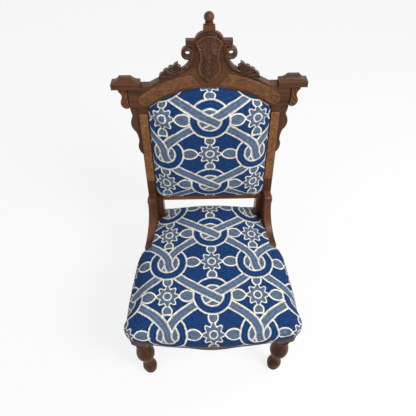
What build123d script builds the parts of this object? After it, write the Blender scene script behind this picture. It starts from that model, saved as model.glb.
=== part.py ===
"""Carved walnut side chair with an upholstered seat and back, in millimetres.

The chair stands on the floor at z = 0 and faces -Y. Its back leans: places on the back are given as a
rise, measured up its front face from the level BACK_LEVEL, and a depth from that face, which is positive
towards the sitter.
"""

import os
from math import atan2, cos, pi, radians, sin, sqrt, tan

from build123d import *

os.makedirs("parts", exist_ok=True)

# Clearances
GLUE_GAP = 0.1  # around dowels and tenons
SOFT_GAP = 0.4  # between upholstery and the wood beside it

# Back frame: lean, posts and the rabbets that the upholstery is tacked into
BACK_LEAN = 11.9  # degrees
BACK_LIFT = 102.0  # above the seat rails, where the back's face crosses y = 0
OPENING_HALF = 138.0  # half the clear width between the posts
POST_WIDTH = 40.0
STILE_DEPTH = 28.0
POST_FRONT = -8.0  # y of the post's front face beside the seat
POST_DEPTH = 34.0
LEG_BREAK = 8.0  # below the seat rails, where the rear leg starts to splay
REAR_FOOT_SPLAY = 70.0
REAR_FOOT_DEPTH = 30.0
KNEE_RADIUS = 180.0
PAD_RABBET = 15.0
PAD_RABBET_DEPTH = 8.0
REAR_RABBET = 12.0

# Crest rail: an arch with square ears
ARCH_TOP = 341.5  # rise of the pad's crown
ARCH_RADIUS = 243.0
ARCH_SPRING = 50.5  # from the pad's crown down to the top of the stiles
CREST_BAND = 45.0
CREST_PROUD = 3.0  # how far the crest stands in front of the stiles
CREST_THICK = 24.0
CREST_FLAT = 6.5  # the flat beside each ear, above the pad's crown
EAR_OVERHANG = 20.0
CREST_EDGE = 1.5
CREST_LINE = 1.8  # width of the line cut along the crest's upper edge
CREST_LINE_DEPTH = 1.0
CREST_LINE_INSET = 3.6
CARVED_EDGE = 1.2

# Ear caps and corbels
EAR_CAP_WIDTH = 69.0
EAR_CAP_MARGIN = 15.0  # beyond the corbel
EAR_CAP_DEPTH = 30.0
EAR_CAP_PROUD = 8.0  # in front of the crest's face
EAR_SLAB = 16.0
EAR_SLAB_LIFT = 1.5  # above the pad's crown
EAR_SLAB_EDGE = 3.0
EAR_ROOF_HEIGHT = 12.0
EAR_ROOF_TOP_WIDTH = 28.0
EAR_ROOF_TOP_DEPTH = 11.0
EAR_PIN = 3.5
EAR_PIN_LENGTH = 10.0
CORBEL_REACH = 21.0
CORBEL_WAIST = 14.5
CORBEL_SCROLL = 18.5
CORBEL_THICK = 20.0
CORBEL_PROUD = 4.0

# Pediment, its scrolls, leaves, shield and finial, with heights above the crest's crown
PEDIMENT_THICK = 14.0
PEDIMENT_NECK = 56.0
SHOULDER_THICK = 13.5
SHOULDER_HALF = 53.0
CAP_HALF = 32.5
CAP_HEIGHT = 16.5
CAP_CURVE = 2.6
PLINTH_HALF = 13.5
PLINTH_HEIGHT = 14.0
PEDIMENT_PIN_X = 24.0
VOLUTE_X = 49.5
VOLUTE_HEIGHT = 39.5
VOLUTE_RADIUS = 14.5
VOLUTE_EYE = 6.0
SCROLL_BAND = 8.0
SCROLL_REST = 0.5  # glue line under the end of the band
SCROLL_THICK = 16.0
SCROLL_PROUD = 3.0  # in front of the pediment's face
LEAF_INNER = 66.0
LEAF_TIP = 116.0
LEAF_HEIGHT = 27.0
LEAF_THICK = 15.0
LEAF_PROUD = 4.0
SHIELD_HALF = 31.0
SHIELD_WAIST = 20.5
SHIELD_BELLY = 26.0
SHIELD_TOP = 80.0
SHIELD_POINT = -29.0
SHIELD_THICK = 5.0
SHIELD_BORDER = 4.0
SHIELD_SINK = 1.8
HUSK_RADIUS = 5.5
HUSK_COUNT = 4
FINIAL_BALL = 11.5
FINIAL_NECK = 6.5
FINIAL_FOOT = 9.5
FINIAL_FOOT_HEIGHT = 4.0
FINIAL_NECK_HEIGHT = 1.5
FINIAL_PIN = 4.0
FINIAL_PIN_LENGTH = 12.0

# Burl veneer panels
PANEL_THICK = 2.5
PANEL_BAND = 31.0
PANEL_BEVEL = 1.2
PANEL_KEY_HALF = 22.0
PANEL_KEY_SLOPE = 0.78
PANEL_OVERRUN = 20.0  # of the crest panels' round ends beyond the opening
ROUNDEL = 9.5  # radius of the ring cut in a crest panel's round end
ROUNDEL_LINE = 1.6
ROUNDEL_DEPTH = 0.9
STILE_PANEL_WIDTH = 21.0
STILE_PANEL_MARGIN = 2.0
STILE_PANEL_BOTTOM = 60.0
STILE_PANEL_DROP = 19.0  # below the top of the stile

# Scalloped wings beside the stiles
WING_THICK = 16.0
WING_SETBACK = 6.0
WING_LENGTH = 146.0
WING_TOP = 20.0
WING_NOTCH = 15.0
WING_LOBE = 22.5
WING_WAIST = 7.5
WING_LOW_LOBE = 11.0

# Lower back rail
BACK_RAIL_BOTTOM = -18.0
BACK_RAIL_HEIGHT = 28.0
BACK_RAIL_SETBACK = 3.0
PAD_BOTTOM = 2.0
TENON_LENGTH = 18.0
TENON_THICK = 9.0
TENON_SHOULDER = 5.0

# Seat frame
RAIL_TOP = 398.0
RAIL_HEIGHT = 60.0
RAIL_THICK = 24.0
REAR_RAIL_SETBACK = 4.0
LEG_X = 207.0
LEG_Y = -352.0
LEG_BLOCK = 50.0
FRONT_BOW = 24.0
FRONT_RAIL_SETBACK = 25.0
APRON_DROP = 15.0
APRON_HALF = 78.0
COVER_LEDGE_DROP = 34.0  # below the rails' tops, where the cover is tacked above the show wood
COVER_LEDGE_DEPTH = 4.0
BLOCK_EDGE = 10.0
CORNER_BLOCK_HEIGHT = 36.0
CORNER_BLOCK_LIFT = 12.0  # above the rails' bottoms
CORNER_BLOCK_LEG = 42.0
DOWEL_RADIUS = 4.5
DOWEL_LENGTH = 40.0
DOWEL_RISE = 16.0  # of a rail's dowels above and below its middle
SCREW_RADIUS = 2.2
SCREW_LENGTH = 45.0
SCREW_HEAD_RADIUS = 4.2
SCREW_HEAD = 2.5

# Turned front legs, as radii at heights above the floor
FOOT_SOLE = 15.0
FOOT_BEAD = 20.0
FOOT_BELL = 23.0
FOOT_BELL_HEIGHT = 36.0
ANKLE = 13.0
ANKLE_HEIGHT = 100.0
VASE = 28.0
VASE_HEIGHT = 168.0
LEG_NECK = 16.0
COLLAR = 23.0
BLOCK_DROP = 26.0  # the block's base below the rails
COLLAR_DROP = 20.0  # the collar below the block
NECK_DROP = 30.0  # the neck below the collar

# Hip brackets
BRACKET_THICK = 22.0
BRACKET_REACH = 116.0
BRACKET_TOE = 13.0
KNUCKLE_RADIUS = 12.0
KNUCKLE_LIFT = 104.0  # above the rails
KNUCKLE_OUT = 9.0
BRACKET_HOLLOW = (0.362, 0.365)  # middle of its hollow front, as shares of its reach and lift
BRACKET_EDGE = 3.0
BRACKET_TOE_ROUND = 5.0
BRACKET_CREASE = 4.0  # radius of the crease under the roll
BRACKET_PIN_LIFT = 32.0  # above the rails

# Seat upholstery
WEB_WIDTH = 50.0
WEB_THICK = 1.3
WEB_GAP = 0.1
WEB_LAP = 14.0  # webbing on the rails
WEB_LIP = 2.0  # between the webbing's end and the apron
CROSS_WEBS = 4
CROSS_WEB_FIRST = -70.0
CROSS_WEB_PITCH = 72.0
LONG_WEBS = 4
LONG_WEB_PITCH = 66.0
HESSIAN_THICK = 1.2
SPRING_WIRE = 3.6
SPRING_RADIUS = 36.0
SPRING_WAIST = 25.0
SPRING_TURNS = 5
SPRING_STEPS = 8  # sides of one turn
SPRING_REAR_X = 76.0
SPRING_REAR_Y = -108.0
SPRING_FRONT_X = 84.0
SPRING_FRONT_Y = -258.0
COVER_THICK = 2.0
SEAT_CROWN_LIFT = 49.0  # above the rails
SEAT_BULGE = 12.0
BACK_GROWTH = 0.4  # share of the seat's growth that its back edge takes
SEAT_CORNER = 40.0
COVER_CORNER = 12.0
DUST_COVER_THICK = 0.8

# Back upholstery
PAD_CROWN = 27.0
PAD_CORNER = 20.0
BACK_WEBS_ACROSS = 3
BACK_WEB_FIRST = 62.0
BACK_WEB_PITCH = 84.0
BACK_WEBS_UP = 2
BACK_WEB_SPREAD = 120.0
OUTSIDE_LAP = 8.0

# Worked-out places
LEAN = radians(BACK_LEAN)
RAIL_BOTTOM = RAIL_TOP - RAIL_HEIGHT
BACK_LEVEL = RAIL_TOP + BACK_LIFT
SEAT_CROWN = RAIL_TOP + SEAT_CROWN_LIFT
COVER_LEDGE = RAIL_TOP - COVER_LEDGE_DROP
CORNER_BLOCK_BASE = RAIL_BOTTOM + CORNER_BLOCK_LIFT
KNUCKLE_LEVEL = RAIL_TOP + KNUCKLE_LIFT
BRACKET_PIN_LEVEL = RAIL_TOP + BRACKET_PIN_LIFT
REAR_LEG_TOP = RAIL_BOTTOM - LEG_BREAK
STILE_TOP = ARCH_TOP - ARCH_SPRING
CREST_SHOULDER = ARCH_TOP + CREST_FLAT
EAR_SLAB_BASE = ARCH_TOP + EAR_SLAB_LIFT
PANEL_END = OPENING_HALF + PANEL_OVERRUN
POST_OUTER = OPENING_HALF + POST_WIDTH
REAR_RABBET_DEPTH = STILE_DEPTH + CREST_PROUD - CREST_THICK
PAD_HALF = OPENING_HALF + PAD_RABBET
ARCH_CENTRE = ARCH_TOP - ARCH_RADIUS
CREST_CROWN = ARCH_TOP + CREST_BAND
EAR_OUTER = POST_OUTER + EAR_OVERHANG
LEG_BLOCK_FRONT = LEG_Y - LEG_BLOCK / 2
LEG_BLOCK_REAR = LEG_Y + LEG_BLOCK / 2
LEG_BLOCK_INNER = LEG_X - LEG_BLOCK / 2
LEG_BLOCK_OUTER = LEG_X + LEG_BLOCK / 2
RAIL_MIDDLE = (RAIL_TOP + RAIL_BOTTOM) / 2
BLOCK_BASE = RAIL_BOTTOM - BLOCK_DROP
COLLAR_HEIGHT = BLOCK_BASE - COLLAR_DROP
LEG_NECK_HEIGHT = COLLAR_HEIGHT - NECK_DROP
SIDE_SLOPE = (LEG_BLOCK_OUTER - POST_OUTER) / (POST_FRONT - LEG_BLOCK_FRONT)
SIDE_ANGLE = atan2(LEG_BLOCK_OUTER - POST_OUTER, POST_FRONT - LEG_BLOCK_FRONT)
RAIL_ACROSS = RAIL_THICK / cos(SIDE_ANGLE)
REAR_RAIL_FRONT = POST_FRONT + REAR_RAIL_SETBACK
REAR_RAIL_BACK = REAR_RAIL_FRONT + RAIL_THICK
SEAT_BACK = REAR_RAIL_BACK
FRONT_RAIL_INNER = LEG_BLOCK_FRONT + FRONT_RAIL_SETBACK

BACK = Plane(origin=(0, 0, BACK_LEVEL), x_dir=(1, 0, 0), z_dir=(0, -cos(LEAN), sin(LEAN)))


def back_point(rise, depth=0.0):
    """(y, z) of a place on the back."""
    return rise * sin(LEAN) - depth * cos(LEAN), BACK_LEVEL + rise * cos(LEAN) + depth * sin(LEAN)


def level_plane(rise):
    """A plane square to the back at a rise: its y runs to the rear and its z up the back."""
    y, z = back_point(rise)
    return Plane(origin=(0, y, z), x_dir=(1, 0, 0), z_dir=(0, sin(LEAN), cos(LEAN)))


def side_x(y):
    """x of the right side rail's outer face at a y."""
    return POST_OUTER + (POST_FRONT - y) * SIDE_SLOPE


pieces = {}


def keep(name, part):
    part.label = name
    pieces[name] = part


def keep_pair(name, right):
    """Keeps a right-hand piece and its mirror image."""
    keep("right_" + name, right)
    with BuildPart() as left:
        mirror(right, about=Plane.YZ)
    keep("left_" + name, left.part)


def front_edges(part):
    """Edges of the foremost flat face of a piece on the back."""
    return part.faces().sort_by(Axis(BACK.origin, BACK.z_dir))[-1].edges()


def half_arch(radius, x):
    """Rise of an arch of that radius, on the crest's centre, at an x."""
    return ARCH_CENTRE + sqrt(radius**2 - x**2)


# Places of the dowels: two stand in the top of each stile, two tie each end of each seat rail
STILE_DOWEL_X = (PAD_HALF + DOWEL_RADIUS, POST_OUTER - 1.6 * DOWEL_RADIUS)
CREST_MIDDLE = CREST_PROUD - CREST_THICK / 2
DOWEL_LEVELS = (RAIL_MIDDLE - DOWEL_RISE, RAIL_MIDDLE + DOWEL_RISE)
SIDE_DOWEL_REAR = side_x(POST_FRONT) - RAIL_ACROSS / 2
SIDE_DOWEL_FRONT = side_x(LEG_BLOCK_REAR) - RAIL_ACROSS / 2
REAR_DOWEL_Y = (REAR_RAIL_FRONT + REAR_RAIL_BACK) / 2
FRONT_DOWEL_Y = (FRONT_RAIL_INNER + LEG_BLOCK_FRONT) / 2
HALF_DOWEL = DOWEL_LENGTH / 2
BACK_RAIL_THICK = STILE_DEPTH - REAR_RABBET_DEPTH - BACK_RAIL_SETBACK


def pin_plane(place, direction):
    """A plane at a place, looking along a pin."""
    return Plane(origin=place, x_dir=(1, 0, 0) if direction[0] == 0 else (0, 1, 0), z_dir=direction)


def stile_pin(x, rise=STILE_TOP):
    """The plane of a pin that stands up the back, in the middle of the crest's thickness."""
    level = level_plane(rise)
    return Plane(origin=level.from_local_coords((x, -CREST_MIDDLE, 0)), x_dir=(1, 0, 0), z_dir=level.z_dir)


def pin_hole(plane, length, radius=DOWEL_RADIUS):
    """A blind hole from a plane, wide enough for a glued pin."""
    with BuildSketch(plane) as hole:
        Circle(radius + GLUE_GAP)
    extrude(hole.sketch, amount=length + (GLUE_GAP if length > 0 else -GLUE_GAP), mode=Mode.SUBTRACT)


def pin(plane, length=HALF_DOWEL, radius=DOWEL_RADIUS):
    """A dowel reaching the same length to both sides of a plane."""
    with BuildSketch(plane) as section:
        Circle(radius)
    extrude(section.sketch, amount=length, both=True)


def tenon_section(gap):
    """Section of the back rail's right-hand tenon or, with a gap, of its mortise."""
    middle = -BACK_RAIL_SETBACK - BACK_RAIL_THICK / 2
    root = BACK.from_local_coords((OPENING_HALF, (BACK_RAIL_BOTTOM + PAD_BOTTOM) / 2, middle))
    with BuildSketch(Plane(origin=root, x_dir=BACK.z_dir, z_dir=(1, 0, 0))) as section:
        Rectangle(TENON_THICK + 2 * gap, PAD_BOTTOM - BACK_RAIL_BOTTOM - 2 * TENON_SHOULDER + 2 * gap)
    return section.sketch


EAR_CAP_X = EAR_OUTER + CORBEL_REACH + EAR_CAP_MARGIN - EAR_CAP_WIDTH / 2
EAR_PIN_X = (EAR_CAP_X - EAR_CAP_WIDTH / 2 + EAR_OUTER) / 2
PEDIMENT_PINS = (-PEDIMENT_PIN_X, PEDIMENT_PIN_X)

# Hip bracket: its own upright plane, along the side rail, and its two pins
BRACKET_FORWARD = (sin(SIDE_ANGLE), -cos(SIDE_ANGLE), 0)
BRACKET_TOE_Y = POST_FRONT - BRACKET_REACH * cos(SIDE_ANGLE) - BRACKET_THICK / 2 * sin(SIDE_ANGLE)
BRACKET_ACROSS = BRACKET_THICK / cos(SIDE_ANGLE)
BRACKET_PLANE = Plane(
    origin=(POST_OUTER - BRACKET_ACROSS / 2, POST_FRONT, 0),
    x_dir=BRACKET_FORWARD,
    z_dir=(-cos(SIDE_ANGLE), -sin(SIDE_ANGLE), 0),
)
BRACKET_FOOT = BRACKET_PLANE.from_local_coords((BRACKET_REACH * 0.55, RAIL_TOP, 0))
BRACKET_FOOT_PIN = Plane(origin=BRACKET_FOOT, z_dir=(0, 0, 1))
BRACKET_POST_PIN = pin_plane((POST_OUTER - BRACKET_ACROSS / 2, POST_FRONT, BRACKET_PIN_LEVEL), (0, 1, 0))

# Corner blocks in plan on the right, and their screws as a place on the slanted face and its two ends
SIDE_INNER_FRONT = side_x(LEG_BLOCK_REAR) - RAIL_ACROSS
SIDE_INNER_REAR = side_x(POST_FRONT) - RAIL_ACROSS
FRONT_BLOCK = (
    (LEG_BLOCK_INNER - CORNER_BLOCK_LEG, FRONT_RAIL_INNER),
    (LEG_BLOCK_INNER, FRONT_RAIL_INNER),
    (LEG_BLOCK_INNER, LEG_BLOCK_REAR),
    (SIDE_INNER_FRONT, LEG_BLOCK_REAR),
    (side_x(LEG_BLOCK_REAR + CORNER_BLOCK_LEG) - RAIL_ACROSS, LEG_BLOCK_REAR + CORNER_BLOCK_LEG),
)
REAR_BLOCK = (
    (side_x(POST_FRONT - CORNER_BLOCK_LEG) - RAIL_ACROSS, POST_FRONT - CORNER_BLOCK_LEG),
    (SIDE_INNER_REAR, POST_FRONT),
    (OPENING_HALF, POST_FRONT),
    (OPENING_HALF, REAR_RAIL_FRONT),
    (OPENING_HALF - CORNER_BLOCK_LEG, REAR_RAIL_FRONT),
)
FRONT_SCREW = (FRONT_BLOCK[4], FRONT_BLOCK[0], 0.5)
REAR_SCREW = (REAR_BLOCK[4], REAR_BLOCK[0], 0.56)


def corner_screw(screw):
    """The plane of a screw on a corner block's slanted face, looking into the corner."""
    start, end, share = screw
    run = (end[0] - start[0], end[1] - start[1])
    level = CORNER_BLOCK_BASE + CORNER_BLOCK_HEIGHT / 2
    place = (start[0] + run[0] * share, start[1] + run[1] * share, level)
    return Plane(origin=place, x_dir=(run[0], run[1], 0), z_dir=(-run[1], run[0], 0))


# Back posts: rear leg and stile sawn from one plank, bent at the seat
def knee_level(y, depth):
    """Height where the upright part of the post meets the leaning part."""
    return BACK_LEVEL + (y + depth / cos(LEAN)) / tan(LEAN)


POST_BACK = POST_FRONT + POST_DEPTH
REAR_FOOT_FRONT = POST_FRONT + REAR_FOOT_SPLAY
with BuildPart() as right_back_post:
    front_knee = (POST_FRONT, knee_level(POST_FRONT, 0))
    back_knee = (POST_BACK, knee_level(POST_BACK, -STILE_DEPTH))
    with BuildSketch(Plane.YZ.offset(OPENING_HALF)) as post_side:
        with BuildLine():
            Polyline((POST_FRONT, REAR_LEG_TOP), front_knee, back_point(STILE_TOP))
            Line(back_point(STILE_TOP), back_point(STILE_TOP, -STILE_DEPTH))
            Polyline(back_point(STILE_TOP, -STILE_DEPTH), back_knee, (POST_BACK, REAR_LEG_TOP))
            TangentArc((POST_BACK, REAR_LEG_TOP), (REAR_FOOT_FRONT + REAR_FOOT_DEPTH, 0), tangent=(0, -1))
            Line((REAR_FOOT_FRONT + REAR_FOOT_DEPTH, 0), (REAR_FOOT_FRONT, 0))
            TangentArc((POST_FRONT, REAR_LEG_TOP), (REAR_FOOT_FRONT, 0), tangent=(0, -1))
        make_face()
        for knee in (front_knee, back_knee):
            fillet(post_side.vertices().sort_by_distance(Vector(*knee))[0], KNEE_RADIUS)
    extrude(amount=POST_WIDTH)
    # Rabbet for the pad, and the one behind it for the outside back
    with BuildSketch(BACK):
        with Locations((OPENING_HALF, PAD_BOTTOM)):
            Rectangle(PAD_RABBET, STILE_TOP, align=(Align.MIN, Align.MIN))
    extrude(amount=-PAD_RABBET_DEPTH, mode=Mode.SUBTRACT)
    with BuildSketch(BACK.offset(-STILE_DEPTH)):
        with Locations((OPENING_HALF, BACK_RAIL_BOTTOM)):
            Rectangle(REAR_RABBET, STILE_TOP - BACK_RAIL_BOTTOM, align=(Align.MIN, Align.MIN))
    extrude(amount=REAR_RABBET_DEPTH, mode=Mode.SUBTRACT)
    for x in STILE_DOWEL_X:
        pin_hole(stile_pin(x), -HALF_DOWEL)
    for level in DOWEL_LEVELS:
        pin_hole(pin_plane((SIDE_DOWEL_REAR, POST_FRONT, level), (0, 1, 0)), HALF_DOWEL)
        pin_hole(pin_plane((OPENING_HALF, REAR_DOWEL_Y, level), (1, 0, 0)), HALF_DOWEL / 2)
    pin_hole(BRACKET_POST_PIN, EAR_PIN_LENGTH, EAR_PIN)
    pin_hole(corner_screw(REAR_SCREW), SCREW_LENGTH, SCREW_RADIUS)
    extrude(tenon_section(GLUE_GAP), amount=TENON_LENGTH + GLUE_GAP, mode=Mode.SUBTRACT)
keep_pair("back_post", right_back_post.part)

# Lower back rail, tenoned between the posts, with the pad's rabbet along its top
with BuildPart() as lower_back_rail:
    with BuildSketch(BACK.offset(-BACK_RAIL_SETBACK)):
        with Locations((0, BACK_RAIL_BOTTOM)):
            Rectangle(2 * OPENING_HALF, BACK_RAIL_HEIGHT, align=(Align.CENTER, Align.MIN))
    extrude(amount=-BACK_RAIL_THICK)
    with BuildSketch(BACK):
        with Locations((0, PAD_BOTTOM)):
            Rectangle(2 * OPENING_HALF, BACK_RAIL_HEIGHT, align=(Align.CENTER, Align.MIN))
    extrude(amount=-PAD_RABBET_DEPTH, mode=Mode.SUBTRACT)
    extrude(tenon_section(0), amount=TENON_LENGTH)
    mirror(about=Plane.YZ)
keep("lower_back_rail", lower_back_rail.part)

# Crest rail: an arch over the pad that ends in square ears, on dowels in the stiles
ARCH_INNER = ARCH_RADIUS - PAD_RABBET
ARCH_OUTER = ARCH_RADIUS + CREST_BAND
EAR_INNER = EAR_CAP_X - EAR_CAP_WIDTH / 2
SPRING_X = sqrt(ARCH_INNER**2 - (STILE_TOP - ARCH_CENTRE) ** 2)
SHOULDER_X = sqrt(ARCH_OUTER**2 - (CREST_SHOULDER - ARCH_CENTRE) ** 2)
with BuildPart() as crest_rail:
    with BuildSketch(BACK.offset(CREST_PROUD)):
        with BuildLine():
            ThreePointArc((-SPRING_X, STILE_TOP), (0, ARCH_CENTRE + ARCH_INNER), (SPRING_X, STILE_TOP))
            ThreePointArc((-SHOULDER_X, CREST_SHOULDER), (0, CREST_CROWN), (SHOULDER_X, CREST_SHOULDER))
            for side in (-1, 1):
                Polyline(
                    (side * SPRING_X, STILE_TOP),
                    (side * EAR_OUTER, STILE_TOP),
                    (side * EAR_OUTER, EAR_SLAB_BASE),
                    (side * EAR_INNER, EAR_SLAB_BASE),
                    (side * EAR_INNER, CREST_SHOULDER),
                    (side * SHOULDER_X, CREST_SHOULDER),
                )
        make_face()
    extrude(amount=-CREST_THICK)
    with BuildSketch(BACK.offset(CREST_PROUD)):
        with Locations((0, ARCH_CENTRE)):
            Circle(ARCH_RADIUS)
    extrude(amount=-PAD_RABBET_DEPTH - CREST_PROUD, mode=Mode.SUBTRACT)
    for x in STILE_DOWEL_X:
        for side in (-1, 1):
            pin_hole(stile_pin(side * x), HALF_DOWEL)
    for side in (-1, 1):
        pin_hole(stile_pin(side * EAR_PIN_X, EAR_SLAB_BASE), -EAR_PIN_LENGTH, EAR_PIN)
    for x in PEDIMENT_PINS:
        for length in (-EAR_PIN_LENGTH, EAR_PIN):
            pin_hole(stile_pin(x, half_arch(ARCH_OUTER, x)), length, EAR_PIN)
    chamfer(front_edges(crest_rail.part), CREST_EDGE)
    # A line follows the arch's upper edge, from the leaves to the shoulders
    line_radius = ARCH_OUTER - CREST_LINE_INSET
    line_ends = (LEAF_TIP - CREST_LINE_INSET, SHOULDER_X - CREST_LINE_INSET)
    line_places = [(x, half_arch(line_radius, x)) for x in (line_ends[0], sum(line_ends) / 2, line_ends[1])]
    with BuildSketch(BACK.offset(CREST_PROUD)) as crest_line:
        with BuildLine():
            ThreePointArc(*line_places)
        trace(line_width=CREST_LINE)
        mirror(about=Plane.YZ)
    extrude(crest_line.sketch, amount=-CREST_LINE_DEPTH, mode=Mode.SUBTRACT)
keep("crest_rail", crest_rail.part)

with BuildPart() as crest_dowels:
    for x in STILE_DOWEL_X:
        for side in (-1, 1):
            pin(stile_pin(side * x))
keep("crest_dowels", crest_dowels.part)

# Ear caps: a thick slab under a low roof with hollow sides, pinned on the ears
EAR_CAP_Y = EAR_CAP_DEPTH / 2 - CREST_PROUD - EAR_CAP_PROUD


def ear_cap_section(rise, width, depth):
    """A level rectangle of the right ear cap."""
    with BuildSketch(level_plane(rise)) as section:
        with Locations((EAR_CAP_X, EAR_CAP_Y)):
            Rectangle(width, depth)
    return section.sketch


SLAB_TOP = EAR_SLAB_BASE + EAR_SLAB
ROOF_WIDTH = EAR_CAP_WIDTH - 2 * EAR_SLAB_EDGE
ROOF_DEPTH = EAR_CAP_DEPTH - 2 * EAR_SLAB_EDGE
with BuildPart() as right_ear_cap:
    extrude(ear_cap_section(EAR_SLAB_BASE, EAR_CAP_WIDTH, EAR_CAP_DEPTH), amount=EAR_SLAB)
    slab_top = right_ear_cap.faces().sort_by(Axis(BACK.origin, BACK.y_dir))[-1]
    fillet(slab_top.edges(), EAR_SLAB_EDGE)
    sections = [
        ear_cap_section(SLAB_TOP, ROOF_WIDTH, ROOF_DEPTH),
        ear_cap_section(
            SLAB_TOP + EAR_ROOF_HEIGHT * 0.35,
            EAR_ROOF_TOP_WIDTH + (ROOF_WIDTH - EAR_ROOF_TOP_WIDTH) * 0.42,
            EAR_ROOF_TOP_DEPTH + (ROOF_DEPTH - EAR_ROOF_TOP_DEPTH) * 0.42,
        ),
        ear_cap_section(SLAB_TOP + EAR_ROOF_HEIGHT, EAR_ROOF_TOP_WIDTH, EAR_ROOF_TOP_DEPTH),
    ]
    loft(sections)
    pin_hole(stile_pin(EAR_PIN_X, EAR_SLAB_BASE), EAR_PIN_LENGTH, EAR_PIN)
keep_pair("ear_cap", right_ear_cap.part)

with BuildPart() as ear_pins:
    for side in (-1, 1):
        pin(stile_pin(side * EAR_PIN_X, EAR_SLAB_BASE), EAR_PIN_LENGTH, EAR_PIN)
keep("ear_pins", ear_pins.part)

# Corbels: scrolled brackets on the ears' outer edges, under the caps
with BuildPart() as right_ear_corbel:
    with BuildSketch(BACK.offset(CREST_PROUD + CORBEL_PROUD)):
        height = EAR_SLAB_BASE - STILE_TOP
        lip = (EAR_OUTER + CORBEL_REACH, EAR_SLAB_BASE - height * 0.12)
        waist = (EAR_OUTER + CORBEL_WAIST, STILE_TOP + height * 0.5)
        heel = (EAR_OUTER + CORBEL_WAIST / 2, STILE_TOP)
        with BuildLine():
            Polyline(heel, (EAR_OUTER, STILE_TOP), (EAR_OUTER, EAR_SLAB_BASE), (lip[0], EAR_SLAB_BASE), lip)
            ThreePointArc(lip, (EAR_OUTER + CORBEL_WAIST, STILE_TOP + height * 0.7), waist)
            ThreePointArc(waist, (EAR_OUTER + CORBEL_SCROLL, STILE_TOP + height * 0.3), heel)
        make_face()
    extrude(amount=-CORBEL_THICK)
keep_pair("ear_corbel", right_ear_corbel.part)

# Wings: scalloped boards glued to the stiles' outer edges under the ears
with BuildPart() as right_stile_wing:
    with BuildSketch(BACK.offset(-WING_SETBACK)):
        def scallop(out, drop):
            return POST_OUTER + out, STILE_TOP - WING_LENGTH * drop

        with BuildLine():
            Polyline(scallop(0, 1), (POST_OUTER, STILE_TOP), scallop(WING_TOP, 0))
            ThreePointArc(scallop(WING_TOP, 0), scallop(WING_TOP - 1.5, 0.11), scallop(WING_NOTCH, 0.2))
            lobe_foot = scallop(WING_NOTCH - 2.5, 0.51)
            ThreePointArc(scallop(WING_NOTCH, 0.2), scallop(WING_LOBE, 0.33), lobe_foot)
            ThreePointArc(lobe_foot, scallop(WING_WAIST + 1, 0.61), scallop(WING_WAIST, 0.72))
            ThreePointArc(scallop(WING_WAIST, 0.72), scallop(WING_LOW_LOBE, 0.83), scallop(0, 1))
        make_face()
    extrude(amount=-WING_THICK)
keep_pair("stile_wing", right_stile_wing.part)

# Pediment: a shaped board on the crest's crown, with shoulders, a curved cap and the finial's plinth
FACE = BACK.offset(CREST_PROUD)
NECK_TOP = CREST_CROWN + PEDIMENT_NECK
SHOULDER_TOP = NECK_TOP + SHOULDER_THICK
CAP_TOP = SHOULDER_TOP + CAP_HEIGHT
PLINTH_TOP = CAP_TOP + PLINTH_HEIGHT
VOLUTE = (VOLUTE_X, CREST_CROWN + VOLUTE_HEIGHT)
SCROLL_START = (VOLUTE_X - VOLUTE_RADIUS + SCROLL_BAND / 2, VOLUTE[1])
SCROLL_BEND = (VOLUTE_X, VOLUTE[1] - 2 * VOLUTE_RADIUS)
SCROLL_END_X = LEAF_INNER + SCROLL_BAND
SCROLL_END = (SCROLL_END_X, half_arch(ARCH_OUTER, SCROLL_END_X) + SCROLL_BAND / 2 + SCROLL_REST)


def scroll_path():
    """Middle line of the right scroll's band, from the volute down to the leaf."""
    with BuildLine() as path:
        upper = TangentArc(SCROLL_START, SCROLL_BEND, tangent=(0, -1))
        TangentArc(SCROLL_BEND, SCROLL_END, tangent=upper % 1)
    return path.line


def scroll_outline(gap):
    """Front view of the right scroll's band and volute, widened by a gap, with no eye."""
    with BuildSketch() as outline:
        trace(scroll_path(), line_width=SCROLL_BAND + 2 * gap)
        with Locations(VOLUTE):
            Circle(VOLUTE_RADIUS + gap)
    return outline.sketch


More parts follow.
